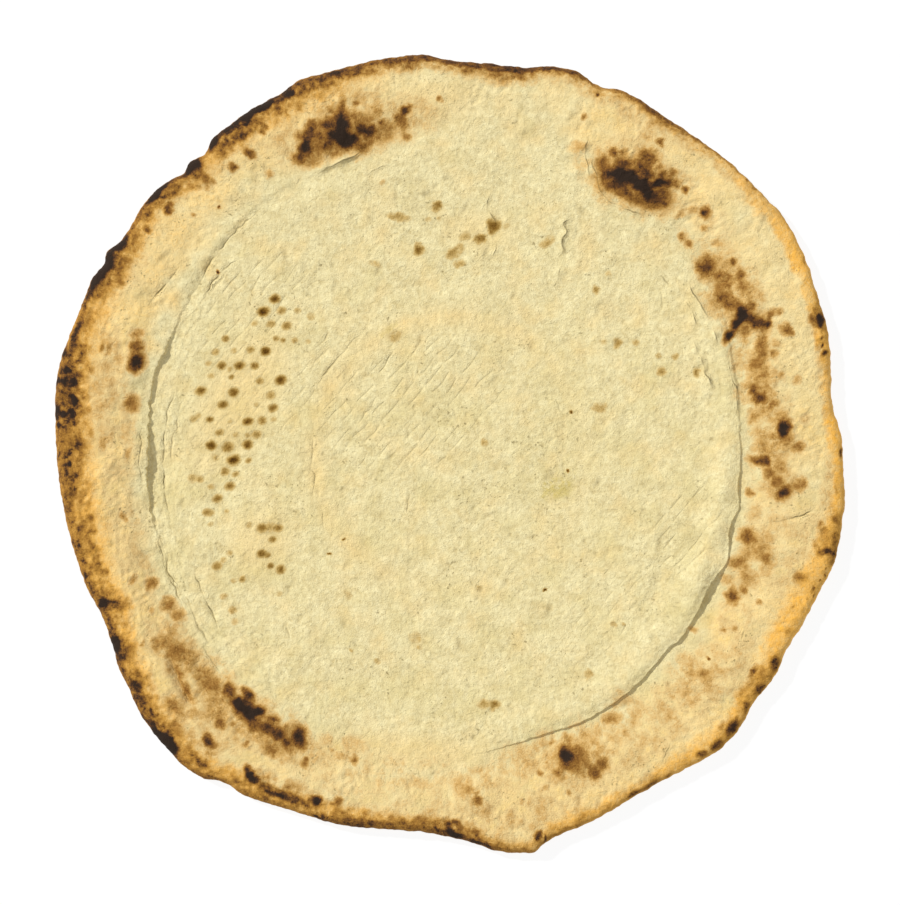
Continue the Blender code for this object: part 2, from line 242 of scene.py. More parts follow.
# The browning of the outer edge as (degrees, how brown its dark band is, how far in that band reaches, how
# brown the band inside it is, how far in that one reaches, how far in the golden one reaches). 0 is pale
# dough and 1 is char.
EDGE_BROWNING = (
    (0, 0.16, 1, 0.14, 4, 6), (5, 0.03, 1, 0.06, 3, 5), (9, 0.04, 1, 0.04, 3, 5),
    (13, 0.24, 1.5, 0.2, 4, 6), (17, 0.28, 2, 0.34, 4.5, 6), (20, 0.48, 3, 0.5, 5.5, 7),
    (22.5, 0.4, 1.6, 0.26, 3, 4), (26, 0.3, 1, 0.16, 3, 4), (33, 0.3, 0.9, 0.18, 4, 6),
    (40, 0.36, 1, 0.18, 4.5, 7), (46, 0.46, 1.4, 0.2, 4, 6), (52, 0.56, 2, 0.28, 4, 7),
    (58, 0.66, 2.6, 0.36, 5, 7), (64, 0.6, 2.2, 0.28, 4, 7), (68, 0.52, 1.6, 0.26, 5, 7),
    (71, 0.7, 2.2, 0.36, 4, 6), (78, 0.76, 2.8, 0.44, 5, 7), (82, 0.78, 3.8, 0.5, 6.5, 8),
    (86, 0.74, 3, 0.42, 5.5, 7), (90, 0.72, 2.6, 0.38, 5, 6), (95, 0.72, 3.4, 0.46, 5.5, 7),
    (103, 0.68, 3.2, 0.44, 6, 8), (108, 0.74, 3.8, 0.48, 8, 12), (114, 0.72, 3.8, 0.48, 8, 12),
    (118, 0.88, 3.8, 0.58, 8, 11), (121, 0.88, 3.6, 0.62, 8, 11), (124, 0.84, 3.2, 0.58, 9, 12),
    (127, 0.8, 2.6, 0.5, 9, 12), (129.5, 0.56, 2, 0.32, 7, 9), (132, 0.82, 2.8, 0.54, 9, 12),
    (134.5, 0.72, 2.2, 0.42, 7, 9), (138, 0.86, 3.2, 0.54, 7, 9), (142, 0.68, 2.6, 0.46, 7, 9),
    (145, 0.7, 2.4, 0.4, 7, 9), (148, 0.8, 2.8, 0.52, 9, 13), (153, 0.84, 3.6, 0.52, 10, 14),
    (157, 0.72, 2.6, 0.46, 8, 12), (161, 0.54, 3.4, 0.42, 8, 11), (165, 0.66, 6.2, 0.6, 10, 13),
    (170, 0.71, 8.8, 0.68, 12, 14), (175, 0.63, 8.6, 0.61, 12, 15), (180, 0.62, 8.6, 0.57, 12, 15),
    (185, 0.66, 8, 0.54, 11, 13), (190, 0.6, 4.8, 0.46, 11, 13), (195, 0.64, 4.6, 0.5, 10, 12),
    (200, 0.64, 3.8, 0.46, 9, 11), (204, 0.72, 5, 0.56, 10, 11), (207, 0.68, 4.8, 0.54, 9, 10),
    (210, 0.8, 4.2, 0.5, 8, 10), (214, 0.72, 3.8, 0.48, 8, 10), (218, 0.76, 4.2, 0.52, 9, 10),
    (222, 0.8, 3.6, 0.5, 8, 10), (226, 1, 4, 0.54, 8, 10), (229, 0.64, 3.2, 0.48, 8, 10),
    (233, 0.7, 2.6, 0.42, 6, 9), (237, 0.56, 2.6, 0.44, 7, 9), (241, 0.58, 3, 0.46, 7, 9),
    (246, 0.56, 2.6, 0.46, 7, 9), (250, 0.6, 3, 0.48, 7, 8), (255, 0.72, 4.4, 0.5, 7, 9),
    (261, 0.66, 3.8, 0.46, 6, 8), (267, 0.68, 3.6, 0.5, 6.5, 8), (271, 0.76, 3.8, 0.54, 7, 8),
    (274, 0.7, 3.6, 0.54, 6.5, 8), (278, 0.6, 2.6, 0.38, 5, 7), (282, 0.54, 2.4, 0.34, 4.5, 6),
    (286, 0.56, 2.4, 0.36, 5, 7), (292, 0.46, 2, 0.32, 4, 6), (297, 0.43, 2, 0.28, 4, 6),
    (302, 0.5, 2, 0.28, 4, 6), (307, 0.34, 1.4, 0.22, 4, 6), (311, 0.5, 2.4, 0.34, 5, 7),
    (317, 0.46, 2.4, 0.36, 5, 7), (322, 0.4, 2.8, 0.44, 7, 9), (327, 0.28, 2.4, 0.34, 6, 8),
    (331, 0.1, 1.5, 0.2, 6, 9), (337, 0.12, 1.2, 0.22, 7, 10), (342, 0.16, 1.5, 0.28, 8, 11),
    (345, 0.52, 3.6, 0.42, 8, 11), (349, 0.42, 3, 0.34, 7, 11), (354, 0.28, 1.6, 0.24, 6, 9),
)  # fmt: skip

# Browned spots near the outer edge, as (degrees, distance in from the edge, half length along the edge, half
# width across it, how brown).
EDGE_MARKS = (
    (359.8, 1.2, 2, 1, 0.8), (11.9, 2.3, 1.3, 1, 0.42), (14.9, 2.9, 1.9, 1.6, 0.9),
    (16.3, 3.4, 0.9, 0.9, 0.8), (17.3, 3.7, 1, 0.8, 0.75), (18, 2.2, 0.8, 0.7, 0.6), (17.2, 5, 3, 1, 0.35),
    (19.6, 2.4, 2.8, 2.1, 0.9), (20.2, 5.4, 2.2, 1.8, 0.62), (21.6, 2.8, 1.8, 1.5, 0.58),
    (28.6, 1, 3, 0.6, 0.5), (28.6, 5, 1.2, 0.6, 0.35), (42.6, 1.1, 1.2, 0.7, 0.72), (40.6, 1, 1, 0.6, 0.55),
    (48, 0.6, 4, 0.8, 0.5), (59, 1.5, 4, 1.6, 0.55), (61, 2.2, 8, 1.6, 0.42), (67.5, 3.8, 1.1, 0.7, 0.9),
    (83, 6.5, 5.5, 2.4, 0.2), (104, 3, 3, 1.5, 0.68), (106.4, 2.2, 4.2, 2.2, 0.74),
    (113.6, 8, 2.2, 1.5, 0.45), (114.2, 2, 3.1, 2.9, 0.82), (119, 1.5, 5, 2.1, 0.9),
    (119.8, 8.6, 1.5, 2, 0.62), (121, 1.4, 3.8, 2.3, 0.95), (123.2, 1, 2.5, 1.6, 0.85),
    (123.8, 4.5, 1.6, 1, 0.45), (121.8, 4.5, 1.2, 0.9, 0.65), (127, 1.2, 3.5, 2.9, 1),
    (126.6, 5.5, 1.6, 2.5, 0.55), (131.9, 1.6, 3.2, 3.9, 1), (131.6, 6.5, 1.4, 2.5, 0.62),
    (131.6, 10.5, 1.6, 2.2, 0.45), (138.3, 1.2, 5.2, 2.3, 0.98), (139.1, 8.2, 1.8, 1.4, 0.72),
    (143.4, 6, 1.2, 1.7, 0.55), (147.8, 1.6, 3, 3.1, 0.92), (153.3, 1.8, 6.9, 3.6, 1),
    (150.5, 2.6, 4.4, 3.4, 0.9), (152.3, 8.6, 2, 1.8, 0.5), (149.3, 7, 2.5, 3, 0.5),
    (161.6, 2.6, 7, 1.6, 0.86), (169.8, 6, 6, 1.8, 0.56), (188.6, 1.8, 3.5, 2, 0.58),
    (171.7, 7.8, 1.9, 2.2, 1), (174.4, 4, 2.2, 2, 0.97), (174, 1.2, 2.6, 1.6, 0.95),
    (169.4, 3.8, 2.1, 2.1, 0.9), (166.9, 12.8, 1.4, 1.2, 0.52), (163.2, 13.8, 1.6, 0.9, 0.45),
    (168.5, 7, 3, 2, 0.72), (178.5, 18.2, 3, 1.4, 0.28), (177, 14, 2.5, 1.6, 0.38),
    (181.6, 5.8, 1.7, 1.1, 0.9), (182.5, 3.8, 2, 1.2, 0.8), (185.6, 6.4, 1.2, 0.8, 0.8),
    (190.4, 10, 2.6, 1.2, 0.5), (199, 8, 1.5, 1.3, 0.6), (196.4, 7, 0.8, 0.7, 0.72),
    (198.7, 1.6, 1.6, 1, 0.8), (194.6, 8, 1.8, 1.2, 0.5), (203.8, 3.6, 2.9, 2.6, 0.88),
    (205, 10, 1.6, 2.6, 0.48), (209.8, 1.6, 3, 2, 0.86), (211.4, 6, 1.9, 4.5, 0.56),
    (212.1, 12.2, 1.1, 1.2, 0.4), (216.8, 4, 2.6, 2.2, 0.74), (218.8, 4.2, 2.6, 1.5, 0.72),
    (222.6, 13, 3.8, 1.7, 0.42), (226.2, 2.5, 5.4, 3, 0.98), (223.6, 1.3, 3.2, 1.6, 0.96),
    (231.4, 4.6, 1.6, 1.3, 0.36), (230.6, 13.6, 2.6, 1.6, 0.66), (238.4, 8, 2.6, 2, 0.84),
    (238.8, 1.6, 3, 1.6, 0.5), (242.9, 4.6, 6.5, 1, 0.72), (248.9, 6.8, 2, 2, 1),
    (250.2, 0.9, 2.6, 0.7, 0.9), (252.1, 8.2, 1.5, 1.6, 0.52), (258.2, 2.5, 2, 1.4, 0.62),
    (262, 3.5, 2.5, 1.4, 0.5), (268.6, 6, 2.2, 1.6, 0.46), (271, 6.8, 1.7, 1.3, 0.68),
    (270.6, 2.2, 4.5, 2, 0.88), (274.3, 1.2, 5, 1, 0.8), (283.7, 2, 1, 2.2, 0.86), (282.8, 4.6, 1, 2, 0.8),
    (289.8, 3, 2, 1, 0.45), (294, 2.6, 1.6, 1.2, 0.48), (298.5, 1.6, 3.2, 1.5, 0.76),
    (301, 1.4, 4, 1.4, 0.64), (304, 1.2, 2, 1, 0.62), (310, 2.6, 2, 1.8, 0.74), (312.6, 2.6, 3.2, 2, 0.8),
    (316, 3, 3.2, 2.4, 0.86), (319.6, 2.6, 2.8, 1.8, 0.7), (315, 6.4, 1.6, 1, 0.52),
    (322.8, 2, 3.4, 2.4, 0.8), (324, 8.2, 2, 1.4, 0.72), (327, 2.8, 4.4, 2.4, 0.76),
    (325, 5.6, 2.4, 1.8, 0.58), (332.2, 3.8, 1.8, 1.2, 0.52), (340.4, 8.5, 2, 2.6, 0.48),
    (344.9, 1.6, 2, 1.8, 0.72), (345.5, 4.4, 2, 2.2, 0.86), (345.9, 8.6, 2.6, 1.8, 0.42),
    (344.8, 6.8, 2.6, 2, 0.75), (347.8, 6.6, 2.2, 1.8, 0.56), (350, 3, 1.9, 2, 0.7),
    (347.4, 2.4, 2, 1.6, 0.62), (349.2, 8.8, 1.6, 0.9, 0.58), (354.5, 3.6, 3.5, 0.8, 0.4),
    (342.8, 2.6, 0.6, 0.5, 0.9), (341.9, 1.8, 0.5, 0.5, 0.9), (340.9, 2.3, 0.6, 0.5, 0.9),
    (339.4, 3.4, 0.8, 0.7, 0.8), (338, 3.4, 0.6, 0.5, 0.8), (338.8, 1.6, 0.6, 0.4, 0.8),
    (336, 7, 0.7, 0.6, 0.6),
)  # fmt: skip

# The marks' places were read from above, where the base looks a little larger and farther off, most of all
# its raised rim: (how much larger, how much farther off) for the disc and for the rim.
DISC_LOOKS, RIM_LOOKS = (1.004, 0.5), (1.009, 0.6)

# Browned marks as (x, y, radius, how brown, stretch, turn). The two slanting ones at (-104, -83.4) and
# (-100.6, -90.6) are painted shade in the groove at the lower left, not browning.
MARKS = (
    # far right blister
    (66, 107, 3.3, 1, 2.2, -4), (70.5, 105, 2.8, 1, 1.6, -35), (73.8, 102.8, 2.8, 1, 1.3, 0),
    (80.6, 103.6, 1.7, 0.98, 3.2, 8), (65.6, 103.4, 2.6, 0.84, 1.8, -22),
    (74.8, 107.6, 2.6, 0.76, 1.4, -40), (79, 98.6, 4.6, 0.8, 1.3, -10), (82.4, 95.6, 1.8, 0.74),
    (75.4, 99.6, 3, 0.84), (72.6, 97.6, 3, 0.62, 1.6, -25), (66.2, 100.2, 2.4, 0.6, 1.8, -35),
    (62.4, 102.6, 2.6, 0.7, 1.4, -40), (60, 106.4, 2.5, 0.76, 1.5, 70), (58.8, 111, 2.6, 0.66, 1.2, 60),
    (57.4, 115.4, 2.4, 0.26), (67, 111.4, 2.4, 0.76, 1.9, 0), (62.8, 115.4, 2.1, 0.74),
    (65.6, 115.2, 1.8, 0.46, 1.6, 0), (68.8, 99.2, 2.2, 0.66), (75.4, 109.8, 2.6, 0.62),
    (75.8, 113.6, 3.3, 0.7, 1.2, -30), (72.6, 110.6, 2.4, 0.74), (76.4, 106.6, 3, 0.66),
    (81.8, 106.2, 2, 0.7), (85.2, 107.4, 2, 0.52), (86.9, 104, 1.9, 0.56), (80.3, 109.6, 1.5, 0.52),
    (80.6, 119.4, 1.6, 0.64), (90.4, 101.1, 1.5, 0.72), (97.8, 92.9, 2, 0.84),
    (93, 93.6, 1.4, 0.3, 2.2, 15), (88.5, 91.8, 1.3, 0.36, 1.6, 30), (97.1, 86.6, 1.4, 0.42),
    (89.3, 83.2, 1.5, 0.46), (91.7, 80.8, 1.5, 0.55), (102.6, 81, 1.5, 0.34, 1.6, -15),
    (49, 117.6, 2, 0.24, 1.6, 10), (51.4, 128.8, 1.3, 0.46),
    # right of the rim
    (98.4, 71.8, 3.4, 0.8, 1.3, 80), (95.8, 70.6, 2.2, 0.46), (103, 68.8, 2.4, 0.62),
    (104.2, 64.4, 2.8, 0.54), (105, 59.6, 2.9, 0.7), (107.6, 56.8, 2.4, 0.48), (108.8, 73.6, 1.5, 0.66),
    (111.6, 68.6, 2.3, 0.68), (112.6, 63.8, 2.4, 0.52, 1.5, 80), (111.8, 53.6, 2.7, 1, 1.4, 95),
    (110.4, 50, 2.2, 0.98, 1.3, 60), (107.2, 45.6, 1.5, 0.92, 2.3, 50), (114.8, 52.2, 2.5, 0.8, 1.6, -10),
    (118.4, 50.2, 2.4, 0.78, 1.6, -5), (121.6, 49.8, 1.6, 0.82), (122.6, 53.2, 1.3, 0.54, 2, 60),
    (125.4, 54.6, 1.4, 0.44, 1.6, 10), (115.4, 56.8, 2.2, 0.66), (118.6, 61.4, 1.6, 0.26),
    (129, 47.6, 2, 0.58, 1.3, -30), (131, 46.2, 1.3, 0.5), (119.4, 41, 2.4, 0.52, 1.8, 88),
    (124, 38.4, 1.8, 0.44), (117.2, 34.6, 2.6, 0.54, 1.3, 80), (113.2, 47.4, 2.4, 0.5),
    (108.4, 53.6, 2.2, 0.36), (124.8, 42.8, 1.6, 0.28), (126.9, 30.6, 1.5, 0.38), (132.8, 28.2, 1.7, 0.32),
    (116.4, 24.6, 2, 0.76), (119, 21.6, 2.3, 0.8, 1.2, -40), (123.5, 23, 1.5, 0.34),
    (123.8, 18.8, 1.9, 0.52, 1.3, 20), (117, 14.4, 1.9, 0.4, 1.6, 55), (127.8, 9.8, 2.8, 1, 1.3, 95),
    (128.2, 7.2, 3.4, 0.58, 1.3, 90), (133.4, 2.8, 2.2, 0.52, 1.3, 15), (127.2, 15.4, 2.6, 0.32),
    (124, 6.4, 1.6, 0.38), (136.1, 13.3, 2, 0.22), (118.2, -2.2, 1.8, 0.68, 2, -8), (121, -3, 2.2, 0.8),
    (122.8, -7, 2.4, 0.56), (126.6, -4.8, 2.2, 0.44, 1.4, -40), (117.2, -22.6, 2.6, 0.22, 1.4, 60),
    (139.3, -52.2, 1.4, 0.46), (121, 1.5, 2.6, 0.34), (125.6, -10.6, 2.3, 0.58),
    (127.9, -14.6, 2.5, 0.85, 1.3, 35), (131.4, -11.8, 2.2, 0.44, 1.5, 30),
    (134.6, -11.6, 2, 0.56, 1.3, 60), (114.9, -14.8, 1.4, 0.54), (114.6, -31.6, 3.2, 0.62),
    (118.5, -36, 4.4, 0.36), (121.3, -39.4, 2.5, 0.48), (110.6, -41.6, 2.4, 0.5, 1.5, 20),
    (106.8, -48.2, 2, 0.26, 1.4, 0), (108.6, -54.4, 2.3, 0.74, 1.3, 90), (112.9, -51.6, 1.6, 0.52),
    (118.3, -56.8, 1, 0.44), (134, -47.5, 2.5, 0.54), (93.5, -67.2, 1.4, 0.32),
    (97.6, -84.3, 2, 0.46, 1.4, 15), (99.2, -78.1, 0.5, 1), (104.8, -67.2, 0.9, 0.46),
    (61.8, -101.4, 2.3, 0.46, 1.5, 5), (67.6, -107, 1.6, 0.3), (109, -66.4, 1, 0.4),
    # near side
    (44.6, -115.4, 3.3, 0.95, 1.25, 95), (49.6, -114.6, 3.8, 0.58), (47.8, -118.6, 3.6, 0.56),
    (58.5, -118.2, 2.6, 0.62), (55.6, -121.6, 2.7, 0.66), (45.8, -109, 2, 0.46), (51.3, -108, 2, 0.3),
    (41.2, -121.8, 2, 0.52), (39.3, -110.6, 1.2, 0.46), (34.8, -122, 1.5, 0.5), (33.4, -112.8, 1.2, 0.32),
    (45.8, -129.6, 1.2, 0.4), (37.2, -127.8, 1, 0.28), (10.5, -132.5, 1.9, 0.6), (10.5, -129.4, 1, 0.46),
    (27.2, -133.2, 1.2, 0.32), (23.2, -137.6, 1, 0.36), (16.7, -95.6, 1.8, 0.52), (13, -95.7, 1.6, 0.38),
    (-42.7, -132.9, 1.7, 0.62), (-55.4, -118.2, 1.7, 0.56), (-36.6, -116.8, 1.6, 0.5),
    (-44.9, -113.2, 1.2, 0.34), (-41.6, -115.8, 1.8, 0.28, 1.8, -20),
    # near left
    (-79, -97, 3.2, 1, 1.6, -35), (-81.3, -95.2, 2.6, 0.98), (-77.2, -92.4, 2.2, 0.86, 1.4, -60),
    (-73.2, -98.8, 2.4, 0.97, 1.3, -20), (-76.6, -100.2, 2.6, 0.95, 1.4, -10),
    (-74.6, -103.6, 3, 0.66, 1.4, -10), (-69.4, -105.2, 3, 0.78, 1.3, -35),
    (-65.6, -107.4, 2.6, 0.8, 1.3, -40), (-62.4, -110.6, 2.6, 0.78), (-57.6, -108.2, 3.1, 0.9, 1.4, 95),
    (-57.2, -112, 2.4, 0.56), (-67.6, -101.4, 2, 0.72, 1.3, 0), (-62.8, -106, 2.4, 0.52),
    (-72, -108.4, 3, 0.36), (-68.4, -112.4, 3, 0.46, 1.4, -20), (-60.4, -113, 2.2, 0.44),
    (-87.6, -99.6, 3, 0.38, 1.4, -30), (-67.6, -114.6, 1.6, 0.4), (-84.4, -90.8, 2.5, 0.76, 1.2, -40),
    (-88.4, -93, 4.6, 0.38), (-91, -88.6, 3.6, 0.48, 1.2, -40), (-94.4, -85, 3.4, 0.46, 1.2, -60),
    (-90, -97.4, 4.6, 0.28), (-99.6, -78.2, 3.4, 0.38), (-104.4, -75.6, 4.4, 0.56),
    (-108.6, -71.6, 3, 0.44), (-111.8, -72.8, 2.6, 0.42), (-104.3, -62, 2.6, 0.44),
    (-107.6, -57.6, 2.8, 0.48), (-114.3, -49.4, 2.3, 0.55), (-113.8, -60, 1.4, 0.38),
    (-121.2, -48, 1.3, 0.42, 2, 65), (-87.8, -103.2, 2.1, 0.62, 1.2, -60), (-83.2, -103.4, 1.2, 0.44),
    (-92.4, -109.4, 2, 0.8, 1.5, -60), (-77.7, -111.2, 1.3, 0.54), (-104.6, -105.2, 3, 0.54, 1.4, -60),
    # The next two marks are painted shade in the groove, not browning.
    (-104, -83.4, 1.4, 0.52, 3, -65), (-100.6, -90.6, 1.5, 0.56, 3, -65),
    (-105.4, -96.4, 3.4, 0.4, 1.5, -40), (-118.2, -91.4, 2.6, 0.54, 1.3, -70),
    (-124, -76, 4, 0.54, 1.4, -75), (-94.6, -118.8, 2, 0.72, 1.3, 0), (-92, -114.6, 2.6, 0.4),
    (-128, -72.4, 2.4, 0.92, 1.6, -70), (-76.4, -121.8, 1.7, 0.92, 1.8, -60), (-74.6, -124.6, 2.1, 0.86),
    (-70, -127.8, 1.9, 0.74, 2.4, -28), (-64, -130.4, 1.8, 0.82, 2.4, -18),
    (-58.6, -131.9, 1.7, 0.76, 1.6, -12), (-124.2, -57.8, 2.6, 0.4), (-131.4, -45, 1.6, 0.66),
    (-137.2, -24.2, 1.5, 0.6), (-136.4, -29.6, 1.6, 0.62), (-136.8, -34.9, 1.5, 0.62),
    (-138.4, -45.8, 1.2, 0.6),
    # left
    (-119.8, 35.4, 3, 0.92, 1.25, 95), (-119.8, 41, 2.6, 0.66), (-119.8, 46, 2.4, 0.42),
    (-121.8, 19.4, 2.7, 0.58, 1.25, 85), (-126.5, 36.6, 2, 0.26), (-130.5, 40.3, 1.3, 0.38, 1.8, 80),
    (-128.3, 22, 1.6, 0.26, 1.8, 80), (-124, 9, 2.2, 0.2, 2.2, 85), (-122.9, 0.2, 1.3, 0.28, 1.8, 80),
    (-132.4, 4, 1.5, 0.28, 2.2, 80), (-124.6, -23.8, 1.2, 0.4, 2.2, -65),
    # far left
    (-126, 65.8, 1.9, 0.54), (-98.1, 91.9, 1, 0.36), (-94.2, 105.8, 2, 0.62), (-83.1, 109.8, 1.7, 0.7),
    (-107.5, 93, 1.8, 0.7), (-115.3, 85.8, 1.5, 0.66), (-76.8, 115.6, 1.8, 0.66, 1.5, -50),
    (-71.8, 123.3, 1.4, 0.62), (-86.8, 114, 2, 0.42), (-68.9, 107.2, 1.4, 0.34, 1.4, -50),
    (-66, 127.5, 2.6, 0.36), (-57.6, 132.6, 2.2, 0.4), (-49, 137.5, 2.4, 0.34),
    # far left blister
    (-41.2, 125.6, 3.5, 1, 1.9, 92), (-41, 120.6, 3.2, 1, 1.7, 0), (-37.2, 120.6, 2.6, 0.98),
    (-44.8, 122.4, 2.6, 0.86), (-41.2, 133, 1.8, 0.62, 1.5, 90), (-41, 137.2, 1.3, 0.34, 1.6, 90),
    (-46.4, 118.6, 2.4, 0.76), (-38.4, 118.4, 2.2, 0.84, 2, 8), (-46.6, 126.2, 2.7, 0.8),
    (-53.4, 124.2, 2.6, 0.42), (-55.4, 120.6, 2.6, 0.66), (-56.8, 121.6, 2.4, 0.6),
    (-59.4, 113.4, 2.2, 0.52), (-44, 115.8, 2.4, 0.48, 1.5, 10), (-32.4, 118.4, 2.4, 0.62, 1.8, 22),
    (-45, 131.4, 2, 0.5, 1.6, 90), (-52.6, 112.6, 2.8, 0.44, 1.6, 15), (-34, 124.4, 3.1, 0.85),
    (-30.8, 123.6, 2.8, 0.82, 1.2, 80), (-35.2, 129, 2.6, 0.52, 1.4, 0), (-55, 117.2, 2.9, 0.93, 1.2, 60),
    (-53.8, 121.6, 3.1, 0.74), (-53, 125, 2.6, 0.62), (-57, 113.4, 2.2, 0.76), (-49.4, 117.2, 3.2, 0.6),
    (-49.6, 121.8, 3.2, 0.62), (-49.6, 126.6, 2.6, 0.5), (-26, 123.4, 4, 0.46, 1.5, 14),
    (-26.1, 126.9, 1.3, 0.68), (-22, 125.4, 2.2, 0.34, 1.5, 40), (-16.9, 131.9, 1.9, 0.88, 1.2, 50),
    (-18.4, 127.8, 2.4, 0.6, 1.5, 95), (-16.4, 121.6, 1.2, 0.46, 1.6, 95), (-35.6, 134, 1.2, 0.5),
    # spots on the disc
    (-4.7, 94.3, 1.7, 0.54), (-19.5, 90.5, 1.3, 0.34, 3, -4), (-8.2, 89.2, 1, 0.26), (-4, 89.4, 1, 0.24),
    (-11.6, 78.1, 1.7, 0.54), (1.6, 76.8, 1.7, 0.42, 1.5, 25), (4, 79, 1.4, 0.3),
    (3.7, 72.6, 1.3, 0.36, 1.6, 10), (11.8, 81.8, 1.8, 0.58, 1.3, 15), (6, 82.8, 1.8, 0.26),
    (17, 87, 2, 0.66, 1.3, 80), (21.4, 87, 1.4, 0.16), (37.4, 80.8, 1.5, 0.3, 1.9, 35),
    (-25.5, 103.6, 1.2, 0.18), (56, 63.1, 1.3, 0.42), (61, 69, 1.2, 0.2), (64.2, 42.4, 1.4, 0.42, 1.3, 70),
    (58.5, 42.8, 1.2, 0.18, 1.6, 0), (71, 42.6, 1.5, 0.32), (80.9, 31.4, 1.6, 0.46),
    (86.2, 37.2, 1.2, 0.34), (79.4, 37, 1, 0.22), (94.4, 31.2, 1.6, 0.42), (57.2, 17.6, 1.6, 0.38, 1.6, 0),
    (13.2, 4.2, 1.4, 0.34), (-52.8, 52.4, 1.4, 0.16), (-20.8, 45, 1.8, 0.26, 1.6, 20),
    (-28, 72.4, 1.3, 0.18, 1.8, -20), (46.8, 16.3, 0.5, 1), (45.5, -6.2, 0.5, 1), (36.3, -52.2, 0.55, 1),
    (-40.3, -32.5, 0.5, 0.9), (-46, -38.3, 0.45, 0.9), (-88.2, 94.9, 0.6, 0.95), (-88, 69.4, 0.5, 0.9),
    (10.8, -51.1, 1.2, 0.26), (-13.2, -70.2, 1.4, 0.22, 1.5, 0), (-11.4, -73.6, 1.1, 0.22),
    (-27.6, -78.8, 1, 0.26), (-37.2, -75, 0.9, 0.26), (-38.9, -54, 1.6, 0.15), (-3.6, 135.6, 1, 0.5),
    (62.6, -64.8, 0.9, 0.26), (66.6, -64.9, 0.9, 0.24), (53.2, -84, 1.5, 0.26), (102, 60, 1.5, 0.2),
)  # fmt: skip

# The docker's browned pricks, as (x, y, radius, how brown).
PRICKS = (
    (-66.7, 59.1, 1.7, 0.75), (-71, 54.3, 1.9, 0.8), (-64.1, 54.7, 1.5, 0.44), (-58, 54.7, 1.2, 0.26),
    (-74.5, 49.8, 1.3, 0.26), (-68.2, 49.5, 1.5, 0.4), (-62, 48.9, 1.6, 0.5), (-85.3, 43.9, 1.3, 0.48),
    (-66, 44, 1.2, 0.44), (-63.6, 43.3, 1, 0.5), (-59.1, 43.3, 1.2, 0.4), (-54, 42.8, 1, 0.24),
    (-89.3, 38.9, 1.4, 0.34), (-82.4, 39.4, 1.3, 0.24), (-75.8, 39.7, 1.5, 0.44), (-70.2, 39.2, 1.7, 0.76),
    (-91.9, 34.6, 1.3, 0.26), (-87.1, 33.8, 1.6, 0.6), (-80.2, 33.7, 1.9, 0.74), (-74.5, 33.7, 1.5, 0.54),
    (-83.9, 32.2, 1.2, 0.26), (-90.9, 29.8, 1.3, 0.28), (-83.1, 29.3, 1, 0.44), (-72.3, 27.9, 1.5, 0.44),
    (-64.4, 28.1, 1.8, 0.68), (-94.9, 24, 1.8, 0.7), (-82.4, 23.5, 1.8, 0.66), (-68.2, 22.4, 1.7, 0.42),
    (-74.4, 25, 1.1, 0.18), (-86.6, 18.7, 1.7, 0.64), (-67.5, 17.5, 1.6, 0.6), (-73.7, 18.8, 1.2, 0.2),
    (-97.7, 13.3, 1.5, 0.3), (-95.9, 14.6, 1.2, 0.28), (-91.5, 13.1, 1.4, 0.52), (-76.9, 12.4, 1.8, 0.74),
    (-71.5, 12.7, 1.6, 0.54), (-83.9, 12.6, 1.2, 0.2), (-67.1, 13.3, 1.1, 0.24), (-87.9, 8.2, 1.6, 0.46),
    (-81.7, 7.1, 1.6, 0.28), (-73.7, 7.5, 1.7, 0.46), (-76.9, 7.1, 1.2, 0.3), (-90.9, 3.3, 1.9, 0.72),
    (-84.6, 2.7, 2.1, 0.6), (-77.1, 3.7, 1.7, 0.7), (-89.3, -1.3, 1.7, 0.26), (-82.4, -2.4, 2.1, 0.82),
    (-76.6, -2.4, 1.1, 0.46), (-85.7, -6.6, 1.7, 0.48), (-81.7, -7.7, 1.2, 0.4), (-97.7, -9.3, 1.9, 0.3),
    (-95.2, -9.7, 1.3, 0.42), (-90.9, -12.4, 1.3, 0.32), (-83.9, -12.4, 1.7, 0.54), (-88.6, -17, 1.7, 0.54),
    (-92.6, -22.3, 1.5, 0.44), (-91, -22.4, 1.3, 0.36), (-85, -22.1, 1, 0.3), (-91.1, -26.8, 1.2, 0.16),
    (-71.5, -28.3, 1.9, 0.6), (-65.6, -28.3, 1.7, 0.52), (-76.6, -27.2, 1.3, 0.26), (-68.6, -28, 2.4, 0.32),
    (-67.5, -32.6, 1.5, 0.5), (-71.5, -38.1, 1.7, 0.62), (-69.6, -38.6, 1.3, 0.5),
    (-83.9, -37.7, 1.3, 0.26), (-88.6, -42.7, 1.7, 0.46), (-86.4, -40.6, 1.2, 0.26),
    (-68.2, -42.8, 1.4, 0.54), (-64.5, -44.1, 1.7, 0.58), (-79.1, -47.6, 1.3, 0.48),
    (-82.4, -48.3, 1.1, 0.22), (-64.9, -53.3, 1.1, 0.24), (-86, -54.4, 1.4, 0.24),
    (-82.8, -59.5, 1.5, 0.38), (-81.7, -63.9, 1.5, 0.2),
)  # fmt: skip
